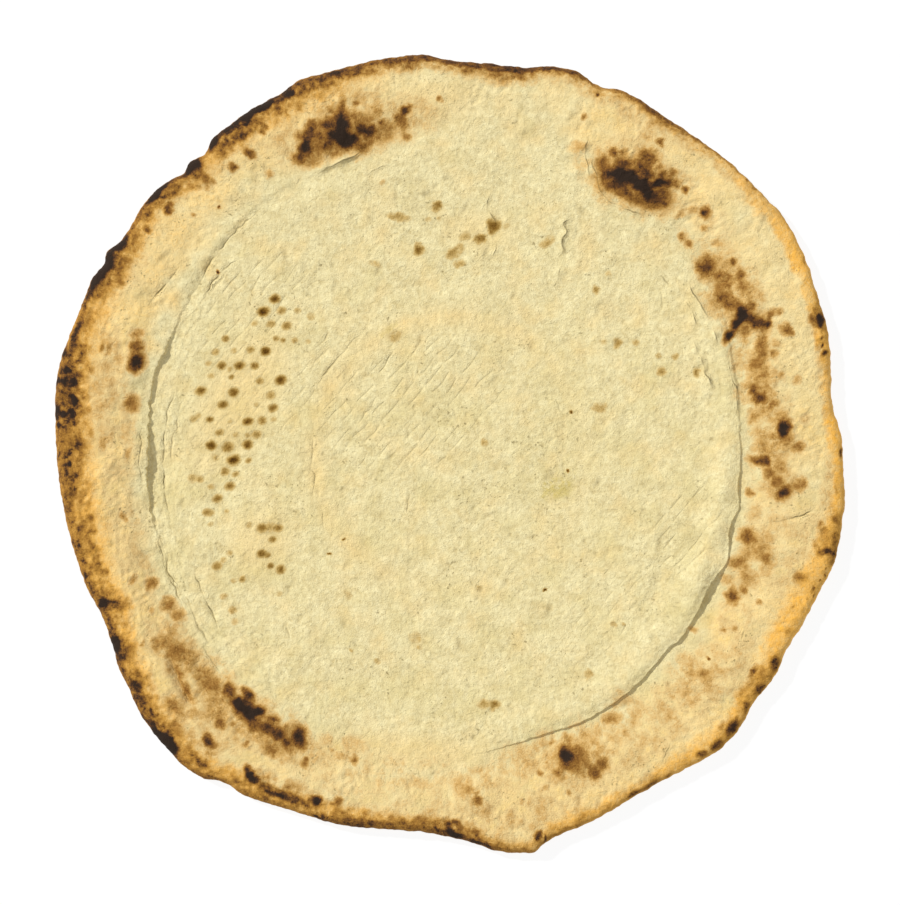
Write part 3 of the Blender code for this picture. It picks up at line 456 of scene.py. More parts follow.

# Broad fields of light browning, as (x, y, half length, half width, turn, how brown). The thin one at
# (32, -113) is painted shadow where the step's shadow runs on along the near side, not browning.
BROWNED_FIELDS = (
    (108.5, 61, 16, 9, 118, 0.36), (116, 44, 11, 8, 100, 0.28), (119, 28, 16, 8, 98, 0.28),
    (123, 6, 16, 7, 84, 0.24), (126, -12, 12, 7, 70, 0.16), (118, -40, 14, 7, 70, 0.24),
    (-70, -104, 24, 8, -35, 0.24), (-93, -88, 14, 9, -50, 0.2), (-104, -76, 16, 7, -55, 0.24),
    # The thin field at (32, -113) on this line is painted shadow along the step.
    (-66, -129, 18, 5, -20, 0.38), (49, -117, 14, 9, 15, 0.3), (32, -113, 16, 3, 18, 0.14),
    (99, 84, 12, 8, 0, 0.1), (70, -99, 12, 5, -40, 0.16), (90, -85, 9, 6, 45, 0.18),
    (-37, 124, 26, 8.5, 13, 0.29), (71, 105, 17, 11, -22, 0.31), (-130, 22, 34, 7, 95, 0.16),
    (-124, -34, 26, 9, -72, 0.1), (-98, -106, 14, 8, -50, 0.26), (-8, -132, 70, 8, 3, 0.07),
    (10, -126, 9, 5, 20, 0.24), (88, -96, 34, 9, 44, 0.18), (100, -84, 16, 11, 45, 0.15),
    (131, -38, 18, 11, 75, 0.11), (108, -66, 14, 8, 55, 0.1), (44, -117, 26, 13, 14, 0.15),
    (20, -139, 42, 8, 4, 0.15), (73, 129, 13, 6, -58, 0.2), (-42, 132, 16, 6, 20, 0.2),
    (-89, -104, 14, 8, -35, 0.2), (-20, -123, 40, 8, 0, 0.09), (-46, -113, 14, 6, 10, 0.14),
)  # fmt: skip

# Soft tints as (x, y, half length, half width, turn, strength).
PEACH_TINTS = (
    (-80, 20, 36, 16, 62, 0.55), (-72, -34, 16, 14, 70, 0.45), (12, 84, 14, 9, 0, 0.4),
    (-24, 129, 42, 12, 12, 0.65), (-58, 111, 12, 5, 25, 0.6), (78, 110, 26, 14, -25, 0.55),
    (66, 128, 5, 10, 0, 0.6), (98, 96, 9, 22, 25, 0.6), (120, 50, 14, 26, 20, 0.5),
    (-20, -114, 46, 9, -2, 0.5), (-45, -115, 14, 7, 0, 0.85), (67, 127, 8, 12, -10, 0.95),
    (95, 93, 7, 14, 15, 0.85), (134, 8, 9, 16, 0, 0.9), (130, -50, 9, 26, -28, 0.95),
    (98, -107, 26, 6, 42, 0.95), (32, -134, 30, 8, 8, 0.95), (-102, -78, 9, 30, 28, 0.7),
)  # fmt: skip
OLIVE_TINTS = (
    (42, -14, 7, 4, 30, 0.9), (42, 16, 13, 32, 0, 0.16), (38, -10, 14, 9, 20, 0.22),
    (8, -96, 14, 8, 10, 0.25), (-21, 45, 5, 3, 20, 0.45), (-1, 12, 6, 3, 30, 0.3), (97, -62, 9, 6, 70, 0.3),
)  # fmt: skip
SWIRL_RADIUS, SWIRL_WIDTH = 51.5, 4.5  # the docker's tan ring on the disc

# How warm and peachy the rim's dough is, as (degrees, warmth), and how golden its edge is: partly the crust's
# toasted colour, partly painted light that brightens the edge, most on the right, where it turns from the
# lamp.
RIM_WARMTH = (
    (0, 0.55), (20, 0.5), (45, 0.5), (60, 0.66), (80, 0.2), (95, 0.25), (110, 0.8), (125, 0.8), (150, 0.85),
    (170, 1), (200, 1), (215, 0.95), (240, 0.7), (262, 0.6), (285, 0.9), (305, 0.8), (325, 0.8),
    (345, 0.65),
)  # fmt: skip
EDGE_GOLD_AND_PAINTED_LIGHT = (  # (degrees, strength, reach)
    (0, 1, 5.5), (4, 1, 5.5), (7.5, 0.8, 4), (12, 0.8, 4), (17.5, 0.9, 5), (21, 0.7, 5), (25, 0.9, 5),
    (29.5, 1, 6), (33, 0.8, 6), (38, 0.6, 7), (44, 0.5, 4), (50, 0.25, 4), (60, 0.2, 4), (80, 0, 6),
    (95, 0, 6), (110, 0.4, 12), (120, 0.4, 11), (135, 0.35, 9), (150, 0.45, 11), (170, 0.55, 14),
    (190, 0.7, 14), (202, 0.75, 12), (215, 0.7, 10), (235, 0.6, 8), (260, 0.5, 6), (275, 0.3, 5),
    (288, 0.7, 6), (300, 0.7, 5), (310, 0.8, 8), (320, 0.8, 7), (335, 0.9, 10), (345, 0.85, 9),
    (355, 0.85, 5),
)  # fmt: skip

# ---------------------------------------------------------------- noise and curves

CURVE_STEPS = 6  # from each of a curve's given points to the next
LATTICE = 256  # the noise repeats after this many lumps
LATTICE_START = 100.5  # lumps between the noise's corner and the middle of the base
NOISE_GAIN = 1.6  # brings the noise to about -1 to 1


def smooth(share):
    """0 to 1 with level ends."""
    share = np.clip(share, 0.0, 1.0)
    return share * share * (3.0 - 2.0 * share)


def ease(value, start, end):
    """0 at start and 1 at end, which may be the lower of the two, with level ends."""
    return smooth((value - start) / (end - start))


def bell(value, half_width):
    """1 at 0, falling to almost nothing at two half widths."""
    return np.exp(-((value / half_width) ** 2))


def around(table, degrees, column=1):
    """A table's column at these angles, read from a smooth closed curve through its rows."""
    rows = np.array(sorted(table), float)
    angles, values = rows[:, 0], rows[:, column]
    angles = np.concatenate((angles[-2:] - 360.0, angles, angles[:3] + 360.0))
    values = np.concatenate((values[-2:], values, values[:3]))
    slopes = np.gradient(values, angles)
    degrees = np.mod(degrees, 360.0)
    i = np.clip(np.searchsorted(angles, degrees, side="right") - 1, 0, len(angles) - 2)
    span = angles[i + 1] - angles[i]
    t = (degrees - angles[i]) / span
    return (
        values[i] * (1 + 2 * t) * (1 - t) ** 2 + slopes[i] * span * t * (1 - t) ** 2
        + values[i + 1] * t * t * (3 - 2 * t) - slopes[i + 1] * span * t * t * (1 - t)
    )  # fmt: skip


def lumps(x, y, size, seed, layers=1, gain=0.5):
    """Smooth noise, about -1 to 1, whose lumps are `size` across and halve with each further layer.

    Each seed gives a noise of its own, and always the same one.
    """
    total = np.zeros_like(x)
    for layer in range(layers):
        turns = np.random.default_rng(seed + layer).random((LATTICE, LATTICE)) * 2 * math.pi
        u, v = (place * 2**layer / size + LATTICE_START for place in (x, y))
        i, j = np.floor(u).astype(int), np.floor(v).astype(int)
        f, g = u - i, v - j
        s, t = (w**3 * (w * (w * 6 - 15) + 10) for w in (f, g))

        def corner(di, dj):
            turn = turns[(i + di) % LATTICE, (j + dj) % LATTICE]
            return np.cos(turn) * (f - di) + np.sin(turn) * (g - dj)

        near = corner(0, 0) * (1 - s) + corner(1, 0) * s
        far = corner(0, 1) * (1 - s) + corner(1, 1) * s
        total += NOISE_GAIN * gain**layer * (near * (1 - t) + far * t)
    return total


def oval(x, y, at_x, at_y, half_length, half_width, turn):
    """How far out of an oval a point is: 0 in its middle, 1 on its edge."""
    cosine, sine = math.cos(math.radians(turn)), math.sin(math.radians(turn))
    along = ((x - at_x) * cosine + (y - at_y) * sine) / half_length
    across = ((y - at_y) * cosine - (x - at_x) * sine) / half_width
    return np.hypot(along, across)


def near_oval(x, y, reach, at_x, at_y, *shape):
    """Which points are within reach of an oval's middle, and how far out of the oval each of those is."""
    near = (np.abs(x - at_x) < reach) & (np.abs(y - at_y) < reach)
    return near, oval(x[near], y[near], at_x, at_y, *shape)


def curve_through(points):
    """Points along a smooth open curve through these."""
    points = np.array(points, float)
    ends = np.vstack((2 * points[0] - points[1], points, 2 * points[-1] - points[-2]))
    curve = []
    for p0, p1, p2, p3 in zip(ends, ends[1:], ends[2:], ends[3:]):
        for t in np.arange(CURVE_STEPS) / CURVE_STEPS:
            curve.append(p1 + (p2 - p0) * t / 2 + (p0 - 2.5 * p1 + 2 * p2 - p3 / 2) * t**2
                         + (1.5 * (p1 - p2) + (p3 - p0) / 2) * t**3)  # fmt: skip
    return np.array(curve + [points[-1]])


def beside(x, y, points, reach):
    """Which points are near a curve, how far to its left each of those is, and how far along it."""
    curve = curve_through(points)
    near = np.ones_like(x, bool)
    for places, line in ((x, curve[:, 0]), (y, curve[:, 1])):
        near &= (places > line.min() - reach) & (places < line.max() + reach)
    x, y = x[near], y[near]
    away, side, share = np.full(x.shape, np.inf), np.ones(x.shape), np.zeros(x.shape)
    for k, (a, b) in enumerate(zip(curve, curve[1:])):
        dx, dy = b - a
        t = np.clip(((x - a[0]) * dx + (y - a[1]) * dy) / (dx * dx + dy * dy), 0, 1)
        gap = np.hypot(x - a[0] - t * dx, y - a[1] - t * dy)
        closer = gap < away
        away[closer] = gap[closer]
        side[closer] = np.sign(dx * (y - a[1]) - dy * (x - a[0]))[closer]
        share[closer] = ((k + t) / (len(curve) - 1))[closer]
    return near, away * side, share


def faded(share, end):
    """1 along a curve, and less over this share of it at each end."""
    return ease(share, 0, end) * ease(share, 1, 1 - end)


def scattered(chance, count, within):
    """Random places in a circle, one at a time, so that what is done at each draws from the same source."""
    for _ in range(count):
        radius, turn = within * math.sqrt(chance.random()), chance.random() * 2 * math.pi
        yield radius * math.cos(turn), radius * math.sin(turn)


# ---------------------------------------------------------------- the mesh

DISC_RINGS, WALL_RINGS, RIM_RINGS, SIDE_RINGS, UNDER_RINGS = 230, 4, 50, 5, 40
MIDDLE_RINGS = 158  # of the disc's rings, in the first piece
PLY = 6  # a ring of the top has this many more points than the one inside it
RIM_CROWDING = 1.2  # how much closer the rim's rings stand towards the outer edge
TOP_MAP_RADIUS, UNDERSIDE_MAP_RADIUS = 0.495, 0.38  # on the texture map, whose middle is at 0.5


class Base:
    """The points of the whole base, as arrays, and the faces between its rings."""

    def __init__(self):
        plan = [("disc", k / DISC_RINGS, max(PLY * k, 1)) for k in range(DISC_RINGS + 1)]
        for k in range(1, WALL_RINGS + 1):
            plan.append(("wall", k / (WALL_RINGS + 1), PLY * len(plan)))
        for k in range(RIM_RINGS):
            plan.append(("rim", 1 - (1 - k / (RIM_RINGS - 1)) ** RIM_CROWDING, PLY * len(plan)))
        plan += [("side", k / SIDE_RINGS, plan[-1][2]) for k in range(1, SIDE_RINGS + 1)]
        plan += [("under", k / UNDER_RINGS, max(PLY * k, 1)) for k in range(UNDER_RINGS - 1, -1, -1)]
        zones, shares, counts = zip(*plan)
        self.counts = np.array(counts)
        self.first = np.concatenate(([0], np.cumsum(counts)))
        self.ring = np.repeat(np.arange(len(plan)), counts)
        self.zone, self.share = np.repeat(zones, counts), np.repeat(shares, counts)
        self.degrees = (np.arange(self.first[-1]) - self.first[self.ring]) * 360.0 / self.counts[self.ring]
        self.on_top = np.isin(self.zone, ("disc", "wall", "rim"))

    def triangles(self):
        """Triangles between each ring and the next, facing out of the base, and the inner ring of each."""
        faces, inner = [], []
        for k in range(len(self.counts) - 1):
            first_a, first_b = self.first[k : k + 2].tolist()
            count_a, count_b = self.counts[k : k + 2].tolist()
            end_a, end_b = (count if count > 1 else 0 for count in (count_a, count_b))
            i = j = 0
            while i < end_a or j < end_b:
                a, b = first_a + i % count_a, first_b + j % count_b
                if i >= end_a or (j < end_b and (j + 1) * count_a <= (i + 1) * count_b):
                    j += 1
                    faces.append((a, b, first_b + j % count_b))
                else:
                    i += 1
                    faces.append((a, b, first_a + i % count_a))
            inner += [k] * (len(faces) - len(inner))
        return np.array(faces), np.array(inner)

    def place(self):
        """Works out every point's place, in millimetres."""
        degrees, share = self.degrees, self.share
        turn = np.radians(degrees)
        ring_x, ring_y = MEAN_RADIUS * np.cos(turn), MEAN_RADIUS * np.sin(turn)
        torn = ease(np.cos(turn - math.pi), 0.4, 0.8)  # the step is torn on the left and folded elsewhere
        edge = around(OUTER_EDGE, degrees) + WOBBLE * lumps(ring_x, ring_y, 4.0, 11, 3)
        step = around(STEP, degrees) + WOBBLE * lumps(ring_x, ring_y, 5.0, 12, 3)
        step += TORN_WOBBLE * torn * lumps(ring_x, ring_y, 2.6, 13, 2)
        self.step = step
        half_width, crown = around(STEP_HALF_WIDTH, degrees), around(CROWN_HEIGHT, degrees)
        drop, level = around(STEP, degrees, 2), around(STEP_HEIGHT, degrees)
        lip, gutter = level + drop / 2, level - drop / 2

        zones = [self.zone == name for name in ("disc", "wall", "rim", "side", "under")]
        self.radius = np.select(zones, (
            share * (step - half_width),
            step + half_width * (2 * share - 1),
            step + half_width + share * (edge - step - half_width),
            edge - UNDERCUT * (1 - np.sqrt(np.maximum(1 - share**2, 0))),
            share * (edge - UNDERCUT),
        ))  # fmt: skip
        self.inward = edge - self.radius
        self.x, self.y = self.radius * np.cos(turn), self.radius * np.sin(turn)

        outward = np.clip((share - CROWN_AT) / (1 - CROWN_AT), 0, 1)
        roll = np.sqrt(1 - outward**ROLL_OFF)
        rise = 0.5 * ease(share, DISH_START, BANK[1]) + 0.5 * ease(share, *BANK)
        disc_rounding = ROUNDING * np.maximum(drop, 0)
        rim_rounding = ROUNDING * np.maximum(-drop, 0)
        top_of_disc = CENTRE_THICKNESS + (lip - CENTRE_THICKNESS) * rise
        # The disc's lip swells a little before it rounds down.
        top_of_disc -= disc_rounding * (ease(share, 0.97, 1.0) - 0.4 * ease(share, 0.93, 0.98))
        top_of_rim = np.where(
            share < CROWN_AT,
            gutter + (crown - gutter) * smooth(share / CROWN_AT),
            SIDE_HEIGHT + (crown - SIDE_HEIGHT) * roll,
        )
        top_of_rim -= 0.5 * rim_rounding * ease(self.radius - step, GUTTER_ROUNDED, 0)
        lip_here, gutter_here = lip - 0.5 * disc_rounding, gutter - 0.5 * rim_rounding
        self.height = np.select(zones, (
            top_of_disc,
            lip_here + (gutter_here - lip_here) * smooth(share),
            top_of_rim,
            SIDE_HEIGHT * (1 - share),
            0 * share,
        ))  # fmt: skip
        calm = np.where(self.zone == "rim", roll, 1.0)  # relief dies out where the rim turns down
        self.steep = ease(calm, 0.7, 0.2)  # 1 where it turns down steeply
        self.height += np.where(self.on_top, self.relief() * calm, 0.0)
        middle = [(values[self.on_top].min() + values[self.on_top].max()) / 2 for values in (self.x, self.y)]
        self.points = np.stack((self.x - middle[0], self.y - middle[1], np.maximum(self.height, 0.0)), 1)

    def relief(self):
        """How far the dough's own unevenness lifts the top, and the shade painted into its wrinkles and pits.
        """
        x, y = self.x, self.y
        lift = self.swells()
        for *place, height in BLISTERS:
            lift += height * smooth(1.15 - oval(x, y, *place))
        for height, half_width, points in FOLDS:
            near, off, share = beside(x, y, points, 3 * half_width)
            lift[near] += height * faded(share, 0.3) * bell(off, half_width)
        self.cut(lift)
        wrinkles = bell(lumps(x, y, 3.4, 35, 2), 0.06) * ease(lumps(x, y, 8.0, 36), -0.05, 0.35)
        pits = self.pits()
        lift -= WRINKLE_DEPTH * wrinkles + PIT_DEPTH * pits
        # Painted shade in the wrinkles and pits, where the dough sinks.
        self.dent_shade = self.on_top * np.maximum(WRINKLE_SHADE * wrinkles, PIT_SHADE * pits)
        return lift

    def swells(self):
        """The dough's lumps and grain, the skin's puckers, and ripples along the step on the left."""
        x, y = self.x, self.y
        past_step = self.radius - self.step
        on_rim = ease(past_step, 0, 10)
        lift = RIM_SWELL * on_rim * lumps(x, y, 16.0, 28, 2)
        for size, height, seed in SWELLS:
            lift += height * lumps(x, y, size, seed)
        lift += GRAIN * lumps(x + 0.3 * y, y - 0.1 * x, 1.5, 26)
        bent_x, bent_y = x + lumps(x, y, 9.0, 41), y + lumps(x, y, 9.0, 42)
        puckers = PUCKERS + RIM_PUCKERS * on_rim * smooth(0.5 + 1.2 * lumps(x, y, 19.0, 43, 2))
        lift += puckers * (0.18 - np.abs(lumps(bent_x, bent_y, 5.0, 27, 3, 0.6)))
        lift += PUCKERS * (0.2 - np.abs(lumps(x, y, 2.2, 29, 2)))
        rough = sum(smooth(reach - oval(x, y, *place)) for *place, reach in ROUGH_AREAS)
        lift += rough * (0.18 * lumps(x, y, 4.0, 30) + 0.12 * lumps(x, y, 2.0, 31))
        left = ease(np.cos(np.radians(self.degrees - 192)), 0.55, 0.85)
        wavy = self.radius + 1.5 * lumps(x, y, 14.0, 33)
        ridges = smooth(1 - 3 * np.abs(lumps(wavy, self.degrees * 0.30, 2.6, 32, 2)))
        return lift + RIPPLES * left * ease(past_step, -14, -6) * ridges

    def cut(self, lift):
        """Adds the furrows and creases to the lift, and works out the shade painted in their dark lines."""
        x, y = self.x, self.y
        off, shown = self.furrows()
        lift -= FURROW_DEPTH * shown * bell(off, FURROW_HALF_WIDTH)
        # The dark lines are painted shade: each point's distance across its line, and how dark the shade
        # painted there is.
        self.crack_off = np.clip(off, -CRACK_REACH, CRACK_REACH)
        self.crack_shade = FURROW_SHADE * shown * ease(np.abs(off), *CRACK_FADE)
        bent_x, bent_y = (
            place + 0.5 * lumps(x, y, 3.0, seed) + 0.8 * lumps(x, y, 8.0, seed + 1)
            for place, seed in ((x, 37), (y, 39))
        )
        firm = np.clip(0.75 + 0.9 * lumps(x, y, 5.0, 34), 0.1, 1.2)
        for height, left_reach, right_reach, points in CREASES:
            near, off, share = beside(bent_x, bent_y, points, 4 * max(left_reach, right_reach))
            shown = faded(share, 0.25) * firm[near]
            lift[near] += height * shown * np.exp(-np.abs(off) / np.where(off > 0, left_reach, right_reach))
            # How dark the shade painted along this crease's line is.
            strength = shown * min(2 * abs(height), 1.2) * ease(np.abs(off), *CRACK_FADE)
            stronger = strength > self.crack_shade[near]
            where = np.flatnonzero(near)[stronger]
            self.crack_off[where] = np.clip(off[stronger], -CRACK_REACH, CRACK_REACH)
            self.crack_shade[where] = strength[stronger]
        self.crack_shade *= self.on_top

    def furrows(self):
        """How far each point is from the nearest furrow of the docker's pins, and how well that shows."""
        x = self.x + 0.9 * lumps(self.x, self.y, 9.0, 61)
        y = self.y + 0.9 * lumps(self.x, self.y, 9.0, 62)
        cosine, sine = math.cos(math.radians(FURROW_TURN)), math.sin(math.radians(FURROW_TURN))
        along, across = x * cosine + y * sine, (y * cosine - x * sine) / FURROW_SPACING
        row = np.round(across).astype(int)
        starts, luck, lengths = np.random.default_rng(63).random((3, FURROW_CHANCES, FURROW_CHANCES))
        place = along / FURROW_LENGTH + starts[row % FURROW_CHANCES, 0]
        cell = np.round(place).astype(int)
        drawn = row % FURROW_CHANCES, cell % FURROW_CHANCES
        half_length = 0.65 + 0.45 * lengths[drawn]  # of a furrow, as a share of half its cell
        gap = 2 * np.abs(place - cell)
        shown = ease(luck[drawn], 0.10, 0.60) * ease(gap, half_length, half_length - 0.2)
        dragged = np.zeros_like(x)
        for *area, amount in DRAGGED_AREAS:
            dragged = np.maximum(dragged, amount * smooth(2.5 - 2 * oval(x, y, *area)))
        return (across - row) * FURROW_SPACING, shown * dragged

    def pits(self):
        """Small pits in the floury skin: 0 off them, 1 in the middle of one."""
        chance = np.random.default_rng(71)
        pits = np.zeros_like(self.x)
        for at_x, at_y in scattered(chance, PIT_COUNT, PITS_WITHIN):
            size, stretch = 0.45 + 0.6 * chance.random(), 1 + 2.2 * chance.random() ** 2
            lean, depth = chance.normal(75, 30), 0.3 + 0.7 * chance.random()
            near, away = near_oval(self.x, self.y, PIT_REACH, at_x, at_y, size * stretch, size, lean)
            pits[near] = np.maximum(pits[near], depth * bell(away, 1))
        return pits

    def browning(self):
        """How far each point is baked: 0 pale dough, 0.3 golden, 0.6 brown, 0.8 dark brown and 1 char."""
        self.patches = lumps(self.x, self.y, 7.0, 47, 3, 0.65)
        self.joined = np.zeros_like(self.x)
        self.add_marks()
        self.add_edge()
        baked = self.joined ** (1 / JOINING)
        baked += DEEPENING * baked * ease(baked, 0.18, 0.48)
        beneath = UNDERSIDE_BROWNING * (1 + lumps(self.x, self.y, 22.0, 51, 3))
        beneath += SPOT_BROWNING * self.spots_beneath()
        along = np.radians(self.degrees) * MEAN_RADIUS
        streaks = lumps(along, 1.6 * self.height, 4.5, 49, 3, 0.6)
        side = SIDE_BROWNING * around(EDGE_BROWNING, self.degrees) + 0.03 + SIDE_STREAKS * streaks
        side = np.maximum(side, 0.0)
        baked += 0.7 * self.steep * (side - baked)  # the top takes on the side's looks where it turns down
        side = baked + (side - baked) * ease(self.share, 0, 0.5)
        side += (beneath - side) * ease(self.share, 0.6, 1)
        return np.where(self.on_top, baked, np.where(self.zone == "side", side, beneath))

    def join(self, near, away, brown):
        """Joins a mark to those before it, so that where marks overlap about the browner one shows."""
        self.joined[near] += (brown * np.exp(-HALVING * away**MARK_SHARPNESS)) ** JOINING

    def add_marks(self):
        """Adds the browned marks, the docker's pricks and the fields of light browning; a few are painted
        shade.
        """
        raised = ease(self.radius - self.step, -6, 0)
        larger, farther = (
            on_disc + (on_rim - on_disc) * raised for on_disc, on_rim in zip(DISC_LOOKS, RIM_LOOKS)
        )
        even_x, even_y = larger * self.x, larger * self.y + farther
        bent_x, bent_y = (0.8 * lumps(self.x, self.y, 4.0, seed, 3) for seed in (41, 43))
        x, y = even_x + bent_x, even_y + bent_y
        for at_x, at_y, size, brown, *shape in MARKS:
            stretch, turn = shape or (1.0, 0.0)
            half_length = size * stretch
            near, away = near_oval(x, y, MARK_REACH * half_length, at_x, at_y, half_length, size, turn)
            self.join(near, away, brown)
        prick_x, prick_y = even_x + 0.3 * bent_x, even_y + 0.3 * bent_y
        for at_x, at_y, size, brown in PRICKS:
            shape = PRICK_LENGTH * size, PRICK_WIDTH * size, PRICK_TURN
            near, away = near_oval(prick_x, prick_y, PRICK_REACH, at_x, at_y, *shape)
            self.join(near, away, brown)
        uneven = np.clip(0.9 + 0.9 * self.patches, 0.2, 1.8)
        for at_x, at_y, half_length, half_width, turn, brown in BROWNED_FIELDS:
            near, away = near_oval(x, y, 2 * half_length, at_x, at_y, half_length, half_width, turn)
            self.join(near, away, brown * uneven[near])

    def add_edge(self):
        """Adds the outer edge's dark, brown and golden bands, and the marks near it."""
        x, y, inward = self.x, self.y, self.inward
        ragged = inward + 0.9 * lumps(x, y, 4.0, 45, 3) * ease(inward, 0, 1.5)
        blotches = lumps(x + 0.8 * self.height, y - 0.6 * self.height, 3.2, 48, 3, 0.6)

        def band(brown, reach, whole, patchy, blotchy):
            """A band whole over this share of its reach, and uneven by these shares of its browning."""
            uneven = 1 + patchy * self.patches + blotchy * blotches
            return brown * ease(ragged, BAND_END * reach, whole * reach) * uneven

        dark, dark_reach, brown, brown_reach, golden_reach = (
            around(EDGE_BROWNING, self.degrees, column) for column in range(1, 6)
        )
        bands = (
            band(dark, dark_reach, 0.70, 0.0, 0.16),
            band(brown, brown_reach, 0.65, 0.4, 0.4),
            band(GOLDEN_BROWNING, golden_reach, 0.65, 0.6, 0.3),
        )
        near = self.on_top & (inward < EDGE_REACH)
        self.joined[near] += np.clip(np.maximum.reduce(bands)[near], 0, 1) ** JOINING
        degrees = self.degrees + 0.6 * lumps(x, y, 5.0, 46, 2)
        half_ragged = (inward + ragged) / 2
        for at_degrees, depth, half_length, half_width, brown in EDGE_MARKS:
            off = (degrees - at_degrees + 180) % 360 - 180
            near = self.on_top & (np.abs(off) < EDGE_MARK_TURN)
            near &= np.abs(inward - depth) < EDGE_MARK_REACH
            along = np.radians(off[near]) * self.radius[near]
            self.join(near, np.hypot(along / half_length, (half_ragged[near] - depth) / half_width), brown)

    def spots_beneath(self):
        """The underside's round scorched spots, left by the oven's floor: 0 off them, 1 in a dark one."""
        chance = np.random.default_rng(81)
        x = self.x + 1.6 * lumps(self.x, self.y, 6.0, 82, 3)
        y = self.y + 1.6 * lumps(self.x, self.y, 6.0, 83, 3)
        spots = np.zeros_like(x)
        for at_x, at_y in scattered(chance, SPOT_COUNT, SPOTS_WITHIN):
            size, stretch = 1.2 + 5.0 * chance.random() ** 3, 1 + 0.7 * chance.random()
            near, away = near_oval(x, y, 3 * size, at_x, at_y, size * stretch, size, 180 * chance.random())
            brown = 0.45 + 0.55 * chance.random()
            spots[near] = np.maximum(spots[near], brown * np.exp(-HALVING * away**SPOT_SHARPNESS))
        return spots

    def tints(self):
        """How peachy, how olive and how golden each point is; the golden edge is partly painted light."""
        x, y = self.x, self.y
        past_step = ease(self.radius - self.step - 5 * lumps(x, y, 13.0, 52, 2), 2, 13)
        peach = past_step * around(RIM_WARMTH, self.degrees) + 0.32 * lumps(x, y, 13.0, 53, 4, 0.6)
        for *place, amount in PEACH_TINTS:
            peach = np.maximum(peach, amount * smooth(1.3 - oval(x, y, *place)))
        swirl = 0.5 * bell(self.radius - SWIRL_RADIUS, SWIRL_WIDTH) * (0.8 + 0.5 * lumps(x, y, 9.0, 55, 2))
        swirl *= 0.35 + 0.65 * ease(np.cos(np.radians(self.degrees - 140)), -0.55, 0.25)
        broken = lumps(x, y, 3.0, 58, 3, 0.7)
        olive = 0.22 * lumps(x, y, 15.0, 57, 3) + 0.06 - 0.12 * ease(y, 10, 70)
        for *place, amount in OLIVE_TINTS:
            stain = 1.3 + 0.5 * broken - oval(x + 2 * broken, y - 2 * broken, *place)
            olive = np.maximum(olive, amount * smooth(stain))
        # The edge's golden band: partly toasted colour, partly painted light.
        inward = self.on_top * self.inward + 1.8 * lumps(x, y, 5.0, 59, 3)
        reach = around(EDGE_GOLD_AND_PAINTED_LIGHT, self.degrees, 2)
        glow = around(EDGE_GOLD_AND_PAINTED_LIGHT, self.degrees) * ease(inward, 1.35 * reach, 0.65 * reach)
        return [np.clip(tint, 0, 1) for tint in (np.maximum(peach, swirl), olive, glow)]

    def normals(self, faces):
        """Each point's normal over the whole base, so that the pieces shade as one surface."""
        a, b, c = (self.points[faces[:, k]] for k in range(3))
        across = np.repeat(np.cross(b - a, c - a), 3, axis=0)
        total = np.stack([np.bincount(faces.ravel(), part, len(self.points)) for part in across.T], 1)
        return total / np.linalg.norm(total, axis=1, keepdims=True)

    def texture_map(self, faces, inner):
        """Each corner's place on its piece's texture map: the top as a round patch or a ring of one, and the
        underside as a smaller patch inside the rim's ring."""
        last_rings = MIDDLE_RINGS, DISC_RINGS + WALL_RINGS, DISC_RINGS + WALL_RINGS + RIM_RINGS + SIDE_RINGS
        outermost = np.select((inner < last_rings[0], inner < last_rings[1]), last_rings[:2], last_rings[2])
        ring, turn = self.ring[faces], np.radians(self.degrees[faces])
        over = ring / outermost[:, None] * TOP_MAP_RADIUS
        under = (len(self.counts) - 1 - ring) / UNDER_RINGS * UNDERSIDE_MAP_RADIUS
        reach = np.where(inner[:, None] >= last_rings[2], under, over)
        return np.stack((0.5 + reach * np.cos(turn), 0.5 + reach * np.sin(turn)), 2)


def add_piece(name, base, faces, layout, normals, values):
    """Makes one piece of the base from some of its faces."""
    used, places = np.unique(faces, return_inverse=True)
    mesh = bpy.data.meshes.new(name)
    mesh.vertices.add(len(used))
    mesh.vertices.foreach_set("co", (base.points[used] * MM).astype(np.float32).ravel())
    mesh.loops.add(faces.size)
    mesh.loops.foreach_set("vertex_index", places.astype(np.int32).ravel())
    mesh.polygons.add(len(faces))
    mesh.polygons.foreach_set("loop_start", np.arange(len(faces), dtype=np.int32) * 3)
    mesh.update(calc_edges=True)
    for layer_name, layer_values in values.items():
        layer = mesh.attributes.new(layer_name, "FLOAT", "POINT")
        layer.data.foreach_set("value", layer_values[used].astype(np.float32))
    layer = mesh.uv_layers.new(name="OFBake")
    layer.uv.foreach_set("vector", layout.astype(np.float32).ravel())
    mesh.shade_smooth()
    mesh.normals_split_custom_set_from_vertices(normals[used])
    piece = bpy.data.objects.new(name, mesh)
    bpy.context.scene.collection.objects.link(piece)
    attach(piece, "root")
    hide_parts("pizza_base")
    return piece


def build_base(material):
    base = Base()
    base.place()
    faces, inner = base.triangles()
    normals = base.normals(faces)
    layout = base.texture_map(faces, inner)
    values = {"browning": base.browning()}
    values |= {"crack_off": base.crack_off, "crack_shade": base.crack_shade, "dent_shade": base.dent_shade}
    values |= zip(("peach", "olive", "glow"), base.tints())
    values["floury"] = ease(base.radius, FLOURY_RADIUS + FLOURY_FADE, FLOURY_RADIUS)
    ends = (0, MIDDLE_RINGS, DISC_RINGS + WALL_RINGS, len(base.counts))
    for name, start, end in zip(("disc_middle", "disc_outer", "rim"), ends, ends[1:]):
        chosen = (inner >= start) & (inner < end)
        piece = add_piece(name, base, faces[chosen], layout[chosen], normals, values)
        piece.data.materials.append(material)


# ---------------------------------------------------------------- the crust's material


